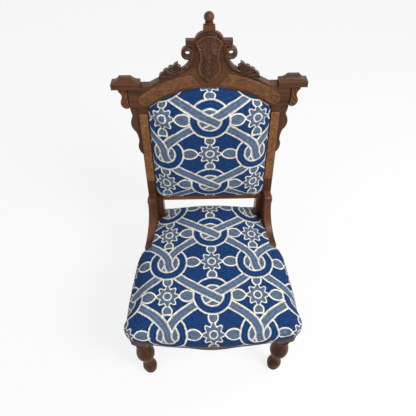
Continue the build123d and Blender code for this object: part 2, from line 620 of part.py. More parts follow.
with BuildPart() as crest_pediment:
    with BuildSketch(FACE) as pediment_face:
        with BuildLine():
            ThreePointArc(
                (-SCROLL_END[0], half_arch(ARCH_OUTER, SCROLL_END[0])),
                (0, CREST_CROWN),
                (SCROLL_END[0], half_arch(ARCH_OUTER, SCROLL_END[0])),
            )
            Line((-PLINTH_HALF, PLINTH_TOP), (PLINTH_HALF, PLINTH_TOP))
            Line((SCROLL_END[0], half_arch(ARCH_OUTER, SCROLL_END[0])), SCROLL_END)
            add(scroll_path())
            Polyline(
                SCROLL_START,
                (SCROLL_START[0], NECK_TOP),
                (SHOULDER_HALF, NECK_TOP),
                (SHOULDER_HALF, SHOULDER_TOP),
                (CAP_HALF, SHOULDER_TOP),
            )
            cap_x = (CAP_HALF + PLINTH_HALF) / 2 + CAP_CURVE
            cap_rise = (SHOULDER_TOP + CAP_TOP) / 2 + CAP_CURVE
            ThreePointArc((CAP_HALF, SHOULDER_TOP), (cap_x, cap_rise), (PLINTH_HALF, CAP_TOP))
            Line((PLINTH_HALF, CAP_TOP), (PLINTH_HALF, PLINTH_TOP))
            Line((-SCROLL_END[0], half_arch(ARCH_OUTER, SCROLL_END[0])), (-SCROLL_END[0], SCROLL_END[1]))
            add(mirror(scroll_path(), about=Plane.YZ, mode=Mode.PRIVATE))
            Polyline(
                (-SCROLL_START[0], SCROLL_START[1]),
                (-SCROLL_START[0], NECK_TOP),
                (-SHOULDER_HALF, NECK_TOP),
                (-SHOULDER_HALF, SHOULDER_TOP),
                (-CAP_HALF, SHOULDER_TOP),
            )
            ThreePointArc((-CAP_HALF, SHOULDER_TOP), (-cap_x, cap_rise), (-PLINTH_HALF, CAP_TOP))
            Line((-PLINTH_HALF, CAP_TOP), (-PLINTH_HALF, PLINTH_TOP))
        make_face()
        add(scroll_outline(GLUE_GAP), mode=Mode.SUBTRACT)
        add(mirror(scroll_outline(GLUE_GAP), about=Plane.YZ, mode=Mode.PRIVATE), mode=Mode.SUBTRACT)
    extrude(pediment_face.sketch.faces().sort_by(SortBy.AREA)[-1], amount=-PEDIMENT_THICK)
    for x in PEDIMENT_PINS:
        for length in (EAR_PIN_LENGTH, -EAR_PIN):
            pin_hole(stile_pin(x, half_arch(ARCH_OUTER, x)), length, EAR_PIN)
    pin_hole(stile_pin(0, PLINTH_TOP), -FINIAL_PIN_LENGTH, FINIAL_PIN)
keep("crest_pediment", crest_pediment.part)

with BuildPart() as pediment_pins:
    for x in PEDIMENT_PINS:
        pin(stile_pin(x, half_arch(ARCH_OUTER, x)), EAR_PIN_LENGTH, EAR_PIN)
keep("pediment_pins", pediment_pins.part)

# Scrolls: pierced volutes whose bands run down beside the pediment into the leaves
with BuildPart() as right_scroll:
    with BuildSketch(FACE.offset(SCROLL_PROUD)):
        add(scroll_outline(0))
        with Locations(VOLUTE):
            Circle(VOLUTE_EYE, mode=Mode.SUBTRACT)
    extrude(amount=-SCROLL_THICK)
    chamfer(front_edges(right_scroll.part), CARVED_EDGE)
keep_pair("scroll", right_scroll.part)

# Leaf sprays: lobed leaves that lie along the crest's upper edge beyond the scrolls
with BuildPart() as right_leaf_spray:
    with BuildSketch(FACE.offset(LEAF_PROUD)):
        def leaf_edge(share, lift):
            x = LEAF_INNER + (LEAF_TIP - LEAF_INNER) * share
            return x, half_arch(ARCH_OUTER, x) + LEAF_HEIGHT * lift

        root = (SCROLL_END[0], half_arch(ARCH_OUTER, SCROLL_END[0]))
        with BuildLine():
            ThreePointArc(root, leaf_edge(0.6, 0), leaf_edge(1, 0))
            ThreePointArc(leaf_edge(1, 0), leaf_edge(1.06, 0.34), leaf_edge(0.86, 0.56))
            ThreePointArc(leaf_edge(0.86, 0.56), leaf_edge(0.77, 0.77), leaf_edge(0.62, 0.70))
            ThreePointArc(leaf_edge(0.62, 0.70), leaf_edge(0.51, 0.89), leaf_edge(0.38, 0.80))
            ThreePointArc(leaf_edge(0.38, 0.80), leaf_edge(0.24, 1.0), leaf_edge(0.12, 1.02))
            ThreePointArc(leaf_edge(0.12, 1.02), leaf_edge(0.1, 0.74), leaf_edge(0, 0.62))
            Polyline(leaf_edge(0, 0.62), (SCROLL_END[0], SCROLL_END[1]), root)
        make_face()
        add(scroll_outline(GLUE_GAP), mode=Mode.SUBTRACT)
    extrude(amount=-LEAF_THICK)
keep_pair("leaf_spray", right_leaf_spray.part)

# Shield: a carved cartouche laid over pediment and crest, sunk inside its border, with a chain of husks
with BuildPart() as crest_shield:
    with BuildSketch(FACE) as shield_face:
        tip = CREST_CROWN + SHIELD_POINT
        head = CREST_CROWN + SHIELD_TOP
        length = head - tip
        with BuildLine():
            brow = tip + length * 0.85
            ThreePointArc((-SHIELD_HALF, brow), (0, head), (SHIELD_HALF, brow))
            for side in (-1, 1):
                ThreePointArc(
                    (side * SHIELD_HALF, brow),
                    (side * (SHIELD_WAIST + 2.5), tip + length * 0.67),
                    (side * SHIELD_WAIST, tip + length * 0.5),
                )
                ThreePointArc(
                    (side * SHIELD_WAIST, tip + length * 0.5),
                    (side * SHIELD_BELLY, tip + length * 0.32),
                    (side * SHIELD_WAIST, tip + length * 0.15),
                )
                Line((side * SHIELD_WAIST, tip + length * 0.15), (0, tip))
        make_face()
    extrude(amount=SHIELD_THICK)
    with BuildSketch(FACE.offset(SHIELD_THICK)):
        offset(shield_face.sketch_local, amount=-SHIELD_BORDER, kind=Kind.INTERSECTION)
    extrude(amount=-SHIELD_SINK, mode=Mode.SUBTRACT)
    for step in range(HUSK_COUNT):
        rise = tip + length * (0.56 - 0.12 * step)
        with BuildSketch(FACE.offset(SHIELD_THICK - SHIELD_SINK)):
            with Locations((0, rise)):
                Circle(HUSK_RADIUS - 0.8 * step)
        extrude(amount=SHIELD_SINK, taper=30)
keep("crest_shield", crest_shield.part)

# Finial: a turned ball on a foot, pinned in the plinth
with BuildPart() as crest_finial:
    with BuildSketch(BACK.offset(CREST_MIDDLE)):
        ball_rise = sqrt(FINIAL_BALL**2 - FINIAL_NECK**2)
        ball_base = PLINTH_TOP + FINIAL_FOOT_HEIGHT + FINIAL_NECK_HEIGHT
        with BuildLine():
            Polyline(
                (0, PLINTH_TOP - FINIAL_PIN_LENGTH),
                (FINIAL_PIN, PLINTH_TOP - FINIAL_PIN_LENGTH),
                (FINIAL_PIN, PLINTH_TOP),
                (FINIAL_FOOT, PLINTH_TOP),
                (FINIAL_FOOT, PLINTH_TOP + FINIAL_FOOT_HEIGHT),
                (FINIAL_NECK, PLINTH_TOP + FINIAL_FOOT_HEIGHT),
                (FINIAL_NECK, ball_base),
            )
            ball_top = (0, ball_base + ball_rise + FINIAL_BALL)
            ThreePointArc((FINIAL_NECK, ball_base), (FINIAL_BALL, ball_base + ball_rise), ball_top)
            Line(ball_top, (0, PLINTH_TOP - FINIAL_PIN_LENGTH))
        make_face()
    revolve(axis=Axis(BACK.from_local_coords((0, 0, CREST_MIDDLE)), BACK.y_dir))
keep("crest_finial", crest_finial.part)

# Burl panels on the crest: bands with a slanted inner end and a round outer one
with BuildPart() as right_crest_panel:
    with BuildSketch(FACE):
        band = ARCH_RADIUS + CREST_BAND / 2
        middle_x = PANEL_END / 2
        with BuildLine():
            ThreePointArc(*[(x, half_arch(band, x)) for x in (0, middle_x, PANEL_END)])
        trace(line_width=PANEL_BAND)
        with Locations((PANEL_END, half_arch(band, PANEL_END))):
            Circle(PANEL_BAND / 2)
        with BuildLine():
            key = half_arch(band - PANEL_BAND / 2, PANEL_KEY_HALF)
            Polyline(
                (PANEL_KEY_HALF - PANEL_KEY_SLOPE * PANEL_BAND, key - PANEL_BAND),
                (PANEL_KEY_HALF + 2 * PANEL_KEY_SLOPE * PANEL_BAND, key + 2 * PANEL_BAND),
                (-PANEL_BAND, key + 2 * PANEL_BAND),
                (-PANEL_BAND, key - PANEL_BAND),
                close=True,
            )
        make_face(mode=Mode.SUBTRACT)
    extrude(amount=PANEL_THICK)
    chamfer(right_crest_panel.faces().sort_by(SortBy.AREA)[-1].edges(), PANEL_BEVEL)
    with BuildSketch(FACE.offset(PANEL_THICK)):
        with Locations((PANEL_END, half_arch(band, PANEL_END))):
            Circle(ROUNDEL)
            Circle(ROUNDEL - ROUNDEL_LINE, mode=Mode.SUBTRACT)
    extrude(amount=-ROUNDEL_DEPTH, mode=Mode.SUBTRACT)
keep_pair("crest_panel", right_crest_panel.part)

# Burl strips on the stiles
with BuildPart() as right_stile_panel:
    with BuildSketch(BACK):
        with Locations((POST_OUTER - STILE_PANEL_MARGIN, STILE_PANEL_BOTTOM)):
            Rectangle(
                STILE_PANEL_WIDTH,
                STILE_TOP - STILE_PANEL_DROP - STILE_PANEL_BOTTOM,
                align=(Align.MAX, Align.MIN),
            )
    extrude(amount=PANEL_THICK)
    chamfer(right_stile_panel.faces().sort_by(SortBy.DISTANCE)[-1:].edges(), PANEL_BEVEL)
keep_pair("stile_panel", right_stile_panel.part)

# Seat plan: the outline of the seat frame, which the rails and the leg blocks are cut from
def seat_outline(grow, corner):
    """Plan of the seat frame grown outwards (or, when negative, shrunk), with its front corners rounded."""
    back = SEAT_BACK + grow * BACK_GROWTH
    front = LEG_BLOCK_FRONT - grow
    across = grow / cos(SIDE_ANGLE)
    half = side_x(front) + across
    bow = FRONT_BOW * half / LEG_BLOCK_OUTER
    with BuildSketch() as outline:
        with BuildLine():
            back_half = side_x(back) + across
            Polyline((-half, front), (-back_half, back), (back_half, back), (half, front))
            ThreePointArc((half, front), (0, front - bow), (-half, front))
        make_face()
        fillet(outline.vertices().group_by(Axis.Y)[0], corner)
    return outline.sketch


def tack_ledge():
    """Plan of the strip that is cut from the frame's upper outer edge, where the cover is tacked."""
    with BuildSketch() as ledge:
        add(seat_outline(SEAT_BULGE, BLOCK_EDGE + SEAT_BULGE))
        add(seat_outline(-COVER_LEDGE_DEPTH, BLOCK_EDGE), mode=Mode.SUBTRACT)
    return Pos(0, 0, COVER_LEDGE) * ledge.sketch


def frame_stock(base):
    """The whole seat frame as a slab, which one member is cut from."""
    extrude(Pos(0, 0, base) * seat_outline(0, BLOCK_EDGE), amount=RAIL_TOP - base)


def trim(base, *corners):
    """Keeps the stretch of the stock inside a plan polygon."""
    with BuildSketch(Plane.XY.offset(base)) as window:
        with BuildLine():
            Polyline(*corners, close=True)
        make_face()
    extrude(window.sketch, amount=RAIL_TOP - base, mode=Mode.INTERSECT)


LEDGE_HEIGHT = RAIL_TOP - COVER_LEDGE
FAR = 2 * LEG_BLOCK_OUTER

# Front legs: turned below a block that the rails are dowelled into
with BuildPart() as right_front_leg:
    frame_stock(BLOCK_BASE)
    trim(
        BLOCK_BASE,
        (LEG_BLOCK_INNER, LEG_BLOCK_REAR),
        (FAR, LEG_BLOCK_REAR),
        (FAR, -FAR),
        (LEG_BLOCK_INNER, -FAR),
    )
    extrude(tack_ledge(), amount=LEDGE_HEIGHT, mode=Mode.SUBTRACT)
    with BuildSketch(Plane(origin=(LEG_X, LEG_Y, 0), x_dir=(1, 0, 0), z_dir=(0, -1, 0))):
        with BuildLine():
            Polyline((0, BLOCK_BASE), (0, 0), (FOOT_SOLE, 0), (FOOT_SOLE + 1.5, 6))
            ThreePointArc((FOOT_SOLE + 1.5, 6), (FOOT_BEAD, 11), (FOOT_BEAD - 2.5, 16))
            ThreePointArc((FOOT_BEAD - 2.5, 16), (FOOT_BEAD + 1, 20.5), (FOOT_BEAD - 0.5, 25))
            Spline(
                (FOOT_BEAD - 0.5, 25),
                (FOOT_BELL, FOOT_BELL_HEIGHT),
                (ANKLE, ANKLE_HEIGHT),
                (VASE, VASE_HEIGHT),
                (LEG_NECK, LEG_NECK_HEIGHT),
                tangents=((0.35, 1), (0, 1), (0, 1), (0, 1), (0, 1)),
            )
            bead_foot = (COLLAR - 3, LEG_NECK_HEIGHT + NECK_DROP * 0.07)
            bead_top = (COLLAR - 3, LEG_NECK_HEIGHT + NECK_DROP * 0.33)
            ring_foot = (COLLAR - 2, COLLAR_HEIGHT)
            ring_top = (COLLAR - 2, COLLAR_HEIGHT + COLLAR_DROP * 0.5)
            Line((LEG_NECK, LEG_NECK_HEIGHT), bead_foot)
            ThreePointArc(bead_foot, (COLLAR - 1, LEG_NECK_HEIGHT + NECK_DROP * 0.2), bead_top)
            ThreePointArc(bead_top, (LEG_NECK, LEG_NECK_HEIGHT + NECK_DROP * 0.67), ring_foot)
            ThreePointArc(ring_foot, (COLLAR, COLLAR_HEIGHT + COLLAR_DROP * 0.25), ring_top)
            Polyline(ring_top, (COLLAR - 3, BLOCK_BASE), (0, BLOCK_BASE))
        make_face()
    revolve(axis=Axis((LEG_X, LEG_Y, 0), (0, 0, 1)))
    for level in DOWEL_LEVELS:
        pin_hole(pin_plane((SIDE_DOWEL_FRONT, LEG_BLOCK_REAR, level), (0, 1, 0)), -HALF_DOWEL)
        pin_hole(pin_plane((LEG_BLOCK_INNER, FRONT_DOWEL_Y, level), (1, 0, 0)), HALF_DOWEL)
    pin_hole(corner_screw(FRONT_SCREW), SCREW_LENGTH, SCREW_RADIUS)
keep_pair("front_leg", right_front_leg.part)

# Side rails, from the posts to the leg blocks
with BuildPart() as right_side_rail:
    frame_stock(RAIL_BOTTOM)
    trim(
        RAIL_BOTTOM,
        (side_x(POST_FRONT) - RAIL_ACROSS, POST_FRONT),
        (FAR, POST_FRONT),
        (FAR, LEG_BLOCK_REAR),
        (side_x(LEG_BLOCK_REAR) - RAIL_ACROSS, LEG_BLOCK_REAR),
    )
    with BuildSketch(Plane.XY.offset(COVER_LEDGE)):
        add(tack_ledge().moved(Location((0, 0, -COVER_LEDGE))))
        with Locations((0, BRACKET_TOE_Y)):
            Rectangle(2 * FAR, FAR, align=(Align.CENTER, Align.MIN), mode=Mode.SUBTRACT)
    extrude(amount=LEDGE_HEIGHT, mode=Mode.SUBTRACT)
    for level in DOWEL_LEVELS:
        pin_hole(pin_plane((SIDE_DOWEL_REAR, POST_FRONT, level), (0, 1, 0)), -HALF_DOWEL)
        pin_hole(pin_plane((SIDE_DOWEL_FRONT, LEG_BLOCK_REAR, level), (0, 1, 0)), HALF_DOWEL)
    pin_hole(BRACKET_FOOT_PIN, -EAR_PIN_LENGTH, EAR_PIN)
keep_pair("side_rail", right_side_rail.part)

# Front rail: bowed, with a shaped apron that drops below the webbing at its middle
with BuildPart() as front_rail:
    frame_stock(RAIL_BOTTOM - APRON_DROP)
    trim(
        RAIL_BOTTOM - APRON_DROP,
        (-LEG_BLOCK_INNER, FRONT_RAIL_INNER),
        (LEG_BLOCK_INNER, FRONT_RAIL_INNER),
        (LEG_BLOCK_INNER, -FAR),
        (-LEG_BLOCK_INNER, -FAR),
    )
    extrude(tack_ledge(), amount=LEDGE_HEIGHT, mode=Mode.SUBTRACT)
    with BuildSketch(Plane.XZ):
        with BuildLine():
            Spline(
                (-APRON_HALF, RAIL_BOTTOM),
                (-APRON_HALF / 2, RAIL_BOTTOM - APRON_DROP * 0.6),
                (0, RAIL_BOTTOM - APRON_DROP),
                (APRON_HALF / 2, RAIL_BOTTOM - APRON_DROP * 0.6),
                (APRON_HALF, RAIL_BOTTOM),
                tangents=((1, 0), (1, 0)),
            )
            Polyline(
                (APRON_HALF, RAIL_BOTTOM),
                (FAR, RAIL_BOTTOM),
                (FAR, 0),
                (-FAR, 0),
                (-FAR, RAIL_BOTTOM),
                (-APRON_HALF, RAIL_BOTTOM),
            )
        make_face()
    extrude(amount=FAR, both=True, mode=Mode.SUBTRACT)
    with BuildSketch(Plane.XY.offset(RAIL_BOTTOM)):
        with Locations((0, FRONT_RAIL_INNER - WEB_LAP - WEB_LIP)):
            Rectangle(FAR, FAR, align=(Align.CENTER, Align.MIN))
    extrude(amount=-2 * APRON_DROP, mode=Mode.SUBTRACT)
    for level in DOWEL_LEVELS:
        for side in (-1, 1):
            end = pin_plane((side * LEG_BLOCK_INNER, FRONT_DOWEL_Y, level), (1, 0, 0))
            pin_hole(end, -side * HALF_DOWEL)
keep("front_rail", front_rail.part)

# Rear rail, between the posts
with BuildPart() as rear_rail:
    with BuildSketch(Plane.XY.offset(RAIL_BOTTOM)):
        with Locations((0, REAR_RAIL_FRONT)):
            Rectangle(2 * OPENING_HALF, RAIL_THICK, align=(Align.CENTER, Align.MIN))
    extrude(amount=RAIL_HEIGHT)
    with BuildSketch(Plane.XY.offset(COVER_LEDGE)):
        with Locations((0, REAR_RAIL_BACK - COVER_LEDGE_DEPTH)):
            Rectangle(2 * OPENING_HALF, RAIL_THICK, align=(Align.CENTER, Align.MIN))
    extrude(amount=LEDGE_HEIGHT, mode=Mode.SUBTRACT)
    for level in DOWEL_LEVELS:
        for side in (-1, 1):
            end = pin_plane((side * OPENING_HALF, REAR_DOWEL_Y, level), (1, 0, 0))
            pin_hole(end, -side * HALF_DOWEL / 2)
keep("rear_rail", rear_rail.part)

with BuildPart() as side_rail_dowels:
    for level in DOWEL_LEVELS:
        for side in (-1, 1):
            pin(pin_plane((side * SIDE_DOWEL_REAR, POST_FRONT, level), (0, 1, 0)))
            pin(pin_plane((side * SIDE_DOWEL_FRONT, LEG_BLOCK_REAR, level), (0, 1, 0)))
keep("side_rail_dowels", side_rail_dowels.part)

with BuildPart() as front_rail_dowels:
    for level in DOWEL_LEVELS:
        for side in (-1, 1):
            pin(pin_plane((side * LEG_BLOCK_INNER, FRONT_DOWEL_Y, level), (1, 0, 0)))
keep("front_rail_dowels", front_rail_dowels.part)

with BuildPart() as rear_rail_dowels:
    for level in DOWEL_LEVELS:
        for side in (-1, 1):
            pin(pin_plane((side * OPENING_HALF, REAR_DOWEL_Y, level), (1, 0, 0)), HALF_DOWEL / 2)
keep("rear_rail_dowels", rear_rail_dowels.part)

# Hip brackets: solid knees between the stiles and the side rails, rolled over at the top
with BuildPart() as right_hip_bracket:
    with BuildSketch(BRACKET_PLANE) as bracket_side:
        toe = (BRACKET_REACH, RAIL_TOP + BRACKET_TOE)
        roll_top = KNUCKLE_LEVEL + KNUCKLE_RADIUS
        roll_foot = (KNUCKLE_OUT + KNUCKLE_RADIUS * 0.85, KNUCKLE_LEVEL - KNUCKLE_RADIUS * 0.53)
        hollow = (BRACKET_REACH * BRACKET_HOLLOW[0], RAIL_TOP + KNUCKLE_LIFT * BRACKET_HOLLOW[1])
        with BuildLine():
            Polyline(
                (KNUCKLE_OUT, roll_top),
                (-BRACKET_REACH, roll_top),
                (-BRACKET_REACH, RAIL_TOP),
                (BRACKET_REACH, RAIL_TOP),
                toe,
            )
            ThreePointArc(toe, hollow, roll_foot)
            ThreePointArc(
                roll_foot,
                (KNUCKLE_OUT + KNUCKLE_RADIUS * 0.87, KNUCKLE_LEVEL + KNUCKLE_RADIUS * 0.5),
                (KNUCKLE_OUT, roll_top),
            )
        make_face()
        for place, radius in ((toe, BRACKET_TOE_ROUND), (roll_foot, BRACKET_CREASE)):
            fillet(bracket_side.vertices().sort_by_distance(Vector(*place))[0], radius)
    extrude(amount=BRACKET_THICK / 2, both=True)
    # Its back follows the post's face
    with BuildSketch(Plane.YZ):
        with BuildLine():
            Polyline(
                front_knee,
                (POST_FRONT, 0),
                (FAR, 0),
                (FAR, 2 * BACK_LEVEL),
                back_point(BACK_LEVEL),
                close=True,
            )
        make_face()
    extrude(amount=FAR, mode=Mode.SUBTRACT)
    hollow_edges = right_hip_bracket.faces().filter_by(GeomType.CYLINDER).edges().filter_by(GeomType.CIRCLE)
    fillet(hollow_edges, BRACKET_EDGE)
    pin_hole(BRACKET_FOOT_PIN, EAR_PIN_LENGTH, EAR_PIN)
    pin_hole(BRACKET_POST_PIN, -EAR_PIN_LENGTH, EAR_PIN)
keep_pair("hip_bracket", right_hip_bracket.part)

with BuildPart() as bracket_pins:
    pin(BRACKET_FOOT_PIN, EAR_PIN_LENGTH, EAR_PIN)
    pin(BRACKET_POST_PIN, EAR_PIN_LENGTH, EAR_PIN)
    mirror(about=Plane.YZ)
keep("bracket_pins", bracket_pins.part)

# Corner blocks, glued inside the frame and screwed to legs and posts
with BuildPart() as corner_blocks:
    for corners in (FRONT_BLOCK, REAR_BLOCK):
        with BuildSketch(Plane.XY.offset(CORNER_BLOCK_BASE)):
            with BuildLine():
                Polyline(*corners, close=True)
            make_face()
        extrude(amount=CORNER_BLOCK_HEIGHT)
    for screw in (FRONT_SCREW, REAR_SCREW):
        pin_hole(corner_screw(screw), SCREW_LENGTH, SCREW_RADIUS)
    mirror(about=Plane.YZ)
keep("corner_blocks", corner_blocks.part)

with BuildPart() as corner_screws:
    for screw in (FRONT_SCREW, REAR_SCREW):
        with BuildSketch(corner_screw(screw)):
            Circle(SCREW_RADIUS)
        extrude(amount=SCREW_LENGTH)
        with BuildSketch(corner_screw(screw)):
            Circle(SCREW_HEAD_RADIUS)
        extrude(amount=-SCREW_HEAD)
    mirror(about=Plane.YZ)
keep("corner_screws", corner_screws.part)

# Seat webbing: long strips under the rails, and cross strips below them with ends folded up to the rails
LONG_WEB_X = [(step - (LONG_WEBS - 1) / 2) * LONG_WEB_PITCH for step in range(LONG_WEBS)]
CROSS_WEB_Y = [CROSS_WEB_FIRST - step * CROSS_WEB_PITCH for step in range(CROSS_WEBS)]
WEB_FRONT = FRONT_RAIL_INNER - WEB_LAP
WEB_REAR = REAR_RAIL_FRONT + WEB_LAP
with BuildPart() as long_seat_webs:
    with BuildSketch(Plane.XY.offset(RAIL_BOTTOM)):
        with Locations(*[(x, (WEB_FRONT + WEB_REAR) / 2) for x in LONG_WEB_X]):
            Rectangle(WEB_WIDTH, WEB_REAR - WEB_FRONT)
    extrude(amount=-WEB_THICK)
keep("long_seat_webs", long_seat_webs.part)

with BuildPart() as cross_seat_webs:
    for y in CROSS_WEB_Y:
        reach = side_x(y + WEB_WIDTH / 2) - RAIL_ACROSS + WEB_LAP
        with BuildSketch(Plane.XY.offset(RAIL_BOTTOM - WEB_THICK - WEB_GAP)):
            with Locations((0, y)):
                Rectangle(2 * reach, WEB_WIDTH)
        extrude(amount=-WEB_THICK)
        with BuildSketch(Plane.XY.offset(RAIL_BOTTOM)):
            with Locations((reach, y)):
                Rectangle(WEB_LAP - SIDE_SLOPE * WEB_WIDTH, WEB_WIDTH, align=(Align.MAX, Align.CENTER))
            with Locations((-reach, y)):
                Rectangle(WEB_LAP - SIDE_SLOPE * WEB_WIDTH, WEB_WIDTH, align=(Align.MIN, Align.CENTER))
        extrude(amount=-WEB_THICK - WEB_GAP)
keep("cross_seat_webs", cross_seat_webs.part)

# Coil springs: waisted coils standing on the webbing
SPRING_FOOT = RAIL_BOTTOM + SPRING_WIRE / 2
SPRING_RISE = RAIL_TOP - RAIL_BOTTOM - SPRING_WIRE


def coil_place(turn):
    """A point of the coil's middle line after that many turns."""
    share = turn / SPRING_TURNS
    radius = SPRING_WAIST + (SPRING_RADIUS - SPRING_WAIST) * (2 * share - 1) ** 2
    angle = 2 * pi * turn
    return Vector(radius * cos(angle), radius * sin(angle), SPRING_FOOT + SPRING_RISE * share)


def coil_section(turn):
    """The wire's section after that many turns, with six sides."""
    step = 0.25 / SPRING_STEPS
    along = coil_place(turn + step) - coil_place(turn - step)
    outwards = (cos(2 * pi * turn), sin(2 * pi * turn), 0)
    with BuildSketch(Plane(origin=coil_place(turn), x_dir=outwards, z_dir=along)) as section:
        RegularPolygon(SPRING_WIRE / 2, 6)
    return section.sketch


with BuildPart() as one_spring:
    loft([coil_section(step / SPRING_STEPS) for step in range(SPRING_TURNS * SPRING_STEPS + 1)], ruled=True)

with BuildPart() as seat_springs:
    with Locations(
        (0, (SPRING_REAR_Y + SPRING_FRONT_Y) / 2),
        (SPRING_REAR_X, SPRING_REAR_Y),
        (-SPRING_REAR_X, SPRING_REAR_Y),
        (SPRING_FRONT_X, SPRING_FRONT_Y),
        (-SPRING_FRONT_X, SPRING_FRONT_Y),
    ):
        add(one_spring.part)
keep("seat_springs", seat_springs.part)

# Hessian over the springs, tacked on the rails
with BuildPart() as seat_hessian:
    with BuildSketch(Plane.XY.offset(RAIL_TOP)) as hessian_plan:
        with BuildLine():
            Polyline(
                (0, WEB_REAR),
                (OPENING_HALF - SOFT_GAP, WEB_REAR),
                (OPENING_HALF - SOFT_GAP, POST_FRONT - SOFT_GAP),
                (side_x(POST_FRONT) - BRACKET_ACROSS - SOFT_GAP, POST_FRONT - SOFT_GAP),
                (side_x(WEB_FRONT) - BRACKET_ACROSS - SOFT_GAP, WEB_FRONT),
                (0, WEB_FRONT),
                close=True,
            )
        make_face()
        mirror(about=Plane.YZ)
    extrude(amount=HESSIAN_THICK)
keep("seat_hessian", seat_hessian.part)

# Seat cushion: a crowned form with drawn-in sides, notched round the posts and brackets. It is lofted
# from levels given as shares of its height and growths of the frame's plan
SEAT_LEVELS = (
    (0.0, -COVER_LEDGE_DEPTH / 4),
    (0.12, SEAT_BULGE * 0.5),
    (0.27, SEAT_BULGE * 0.92),
    (0.41, SEAT_BULGE),
    (0.55, SEAT_BULGE * 0.72),
    (0.68, 0.0),
    (0.78, -14.0),
    (0.86, -38.0),
    (0.92, -70.0),
    (0.97, -110.0),
    (1.0, -150.0),
)
COVER_FOOT = COVER_LEDGE + SOFT_GAP


def seat_sections(inset):
    """Level sections of the cushion's form, shrunk by an inset; a shrunk one also reaches lower."""
    sections = []
    for share, grow in SEAT_LEVELS:
        level = COVER_FOOT - inset + (SEAT_CROWN - COVER_FOOT) * share
        corner = COVER_CORNER + (SEAT_CORNER - COVER_CORNER) * min(1, share / 0.27)
        corner *= 1 + 0.45 * min(0, grow) / LEG_X
        sections.append(Pos(0, 0, level) * seat_outline(grow - inset, corner))
    return sections


def seat_notch(gap):
    """Plan of the room for the right post and bracket, widened by a gap."""
    toe = BRACKET_TOE_Y - gap
    face = POST_FRONT - gap
    with BuildSketch(Plane.XY.offset(RAIL_BOTTOM)) as notch:
        with BuildLine():
            Polyline(
                (OPENING_HALF - gap, FAR),
                (OPENING_HALF - gap, face),
                (side_x(face) - BRACKET_ACROSS - gap, face),
                (side_x(toe) - BRACKET_ACROSS - gap, toe),
                (FAR, toe),
                (FAR, FAR),
                close=True,
            )
        make_face()
        mirror(about=Plane.YZ)
    return notch.sketch


SEAT_ROOM = SEAT_CROWN - RAIL_BOTTOM + SEAT_BULGE
STUFFING_BASE = RAIL_TOP + HESSIAN_THICK + SOFT_GAP
with BuildPart() as cover_inside:
    loft(seat_sections(COVER_THICK))
    extrude(seat_notch(SOFT_GAP + COVER_THICK), amount=SEAT_ROOM, mode=Mode.SUBTRACT)

with BuildPart() as seat_cover:
    loft(seat_sections(0))
    extrude(seat_notch(SOFT_GAP), amount=SEAT_ROOM, mode=Mode.SUBTRACT)
    add(cover_inside.part, mode=Mode.SUBTRACT)
    # Below the frame's top the cover hangs outside the ledge only
    inside = Pos(0, 0, RAIL_BOTTOM) * seat_outline(-COVER_LEDGE_DEPTH + SOFT_GAP, BLOCK_EDGE)
    extrude(inside, amount=STUFFING_BASE - RAIL_BOTTOM, mode=Mode.SUBTRACT)
keep("seat_cover", seat_cover.part)

with BuildPart() as seat_stuffing:
    loft(seat_sections(COVER_THICK + SOFT_GAP))
    extrude(seat_notch(2 * SOFT_GAP + COVER_THICK), amount=SEAT_ROOM, mode=Mode.SUBTRACT)
    with BuildSketch(Plane.XY.offset(STUFFING_BASE)):
        Rectangle(2 * FAR, 4 * FAR)
    extrude(amount=-SEAT_ROOM, mode=Mode.SUBTRACT)
keep("seat_stuffing", seat_stuffing.part)

# Dust cover under the webbing
with BuildPart() as dust_cover:
    with BuildSketch(Plane.XY.offset(RAIL_BOTTOM - 2 * (WEB_THICK + WEB_GAP))):
        with BuildLine():
            Polyline(
                (0, WEB_REAR),
                (OPENING_HALF - WEB_LIP, WEB_REAR),
                (OPENING_HALF - WEB_LIP, POST_FRONT - WEB_LIP),
                (side_x(POST_FRONT) - WEB_LIP * 2, POST_FRONT - WEB_LIP),
                (side_x(LEG_BLOCK_REAR) - WEB_LIP * 2, LEG_BLOCK_REAR + WEB_LIP),
                (LEG_BLOCK_INNER - WEB_LIP, LEG_BLOCK_REAR + WEB_LIP),
                (LEG_BLOCK_INNER - WEB_LIP, WEB_FRONT),
                (0, WEB_FRONT),
                close=True,
            )
        make_face()
        mirror(about=Plane.YZ)
    extrude(amount=-DUST_COVER_THICK)
keep("dust_cover", dust_cover.part)


# Back upholstery: webbing and hessian in the rabbet, a crowned pad under its cover, and the outside back
def pad_outline(inset, corner):
    """Front view of the pad, shrunk by an inset inside the rabbet."""
    half = PAD_HALF - SOFT_GAP - inset
    bottom = PAD_BOTTOM + SOFT_GAP + inset
    radius = ARCH_RADIUS - SOFT_GAP - inset
    spring = half_arch(radius, half)
    with BuildSketch() as outline:
        with BuildLine():
            Polyline((-half, spring), (-half, bottom), (half, bottom), (half, spring))
            ThreePointArc((half, spring), (0, ARCH_CENTRE + radius), (-half, spring))
        make_face()
        fillet(outline.vertices(), corner)
    return outline.sketch


WEB_FLOOR = -PAD_RABBET_DEPTH
BACK_HESSIAN = WEB_FLOOR + 2 * (WEB_THICK + WEB_GAP)
PAD_BASE = BACK_HESSIAN + HESSIAN_THICK + SOFT_GAP
ACROSS_RISES = [BACK_WEB_FIRST + step * BACK_WEB_PITCH for step in range(BACK_WEBS_ACROSS)]
with BuildPart() as back_webs_across:
    with BuildSketch(BACK.offset(WEB_FLOOR)):
        with Locations(*[(0, rise) for rise in ACROSS_RISES]):
            Rectangle(2 * (PAD_HALF - SOFT_GAP), WEB_WIDTH)
    extrude(amount=WEB_THICK)
keep("back_webs_across", back_webs_across.part)

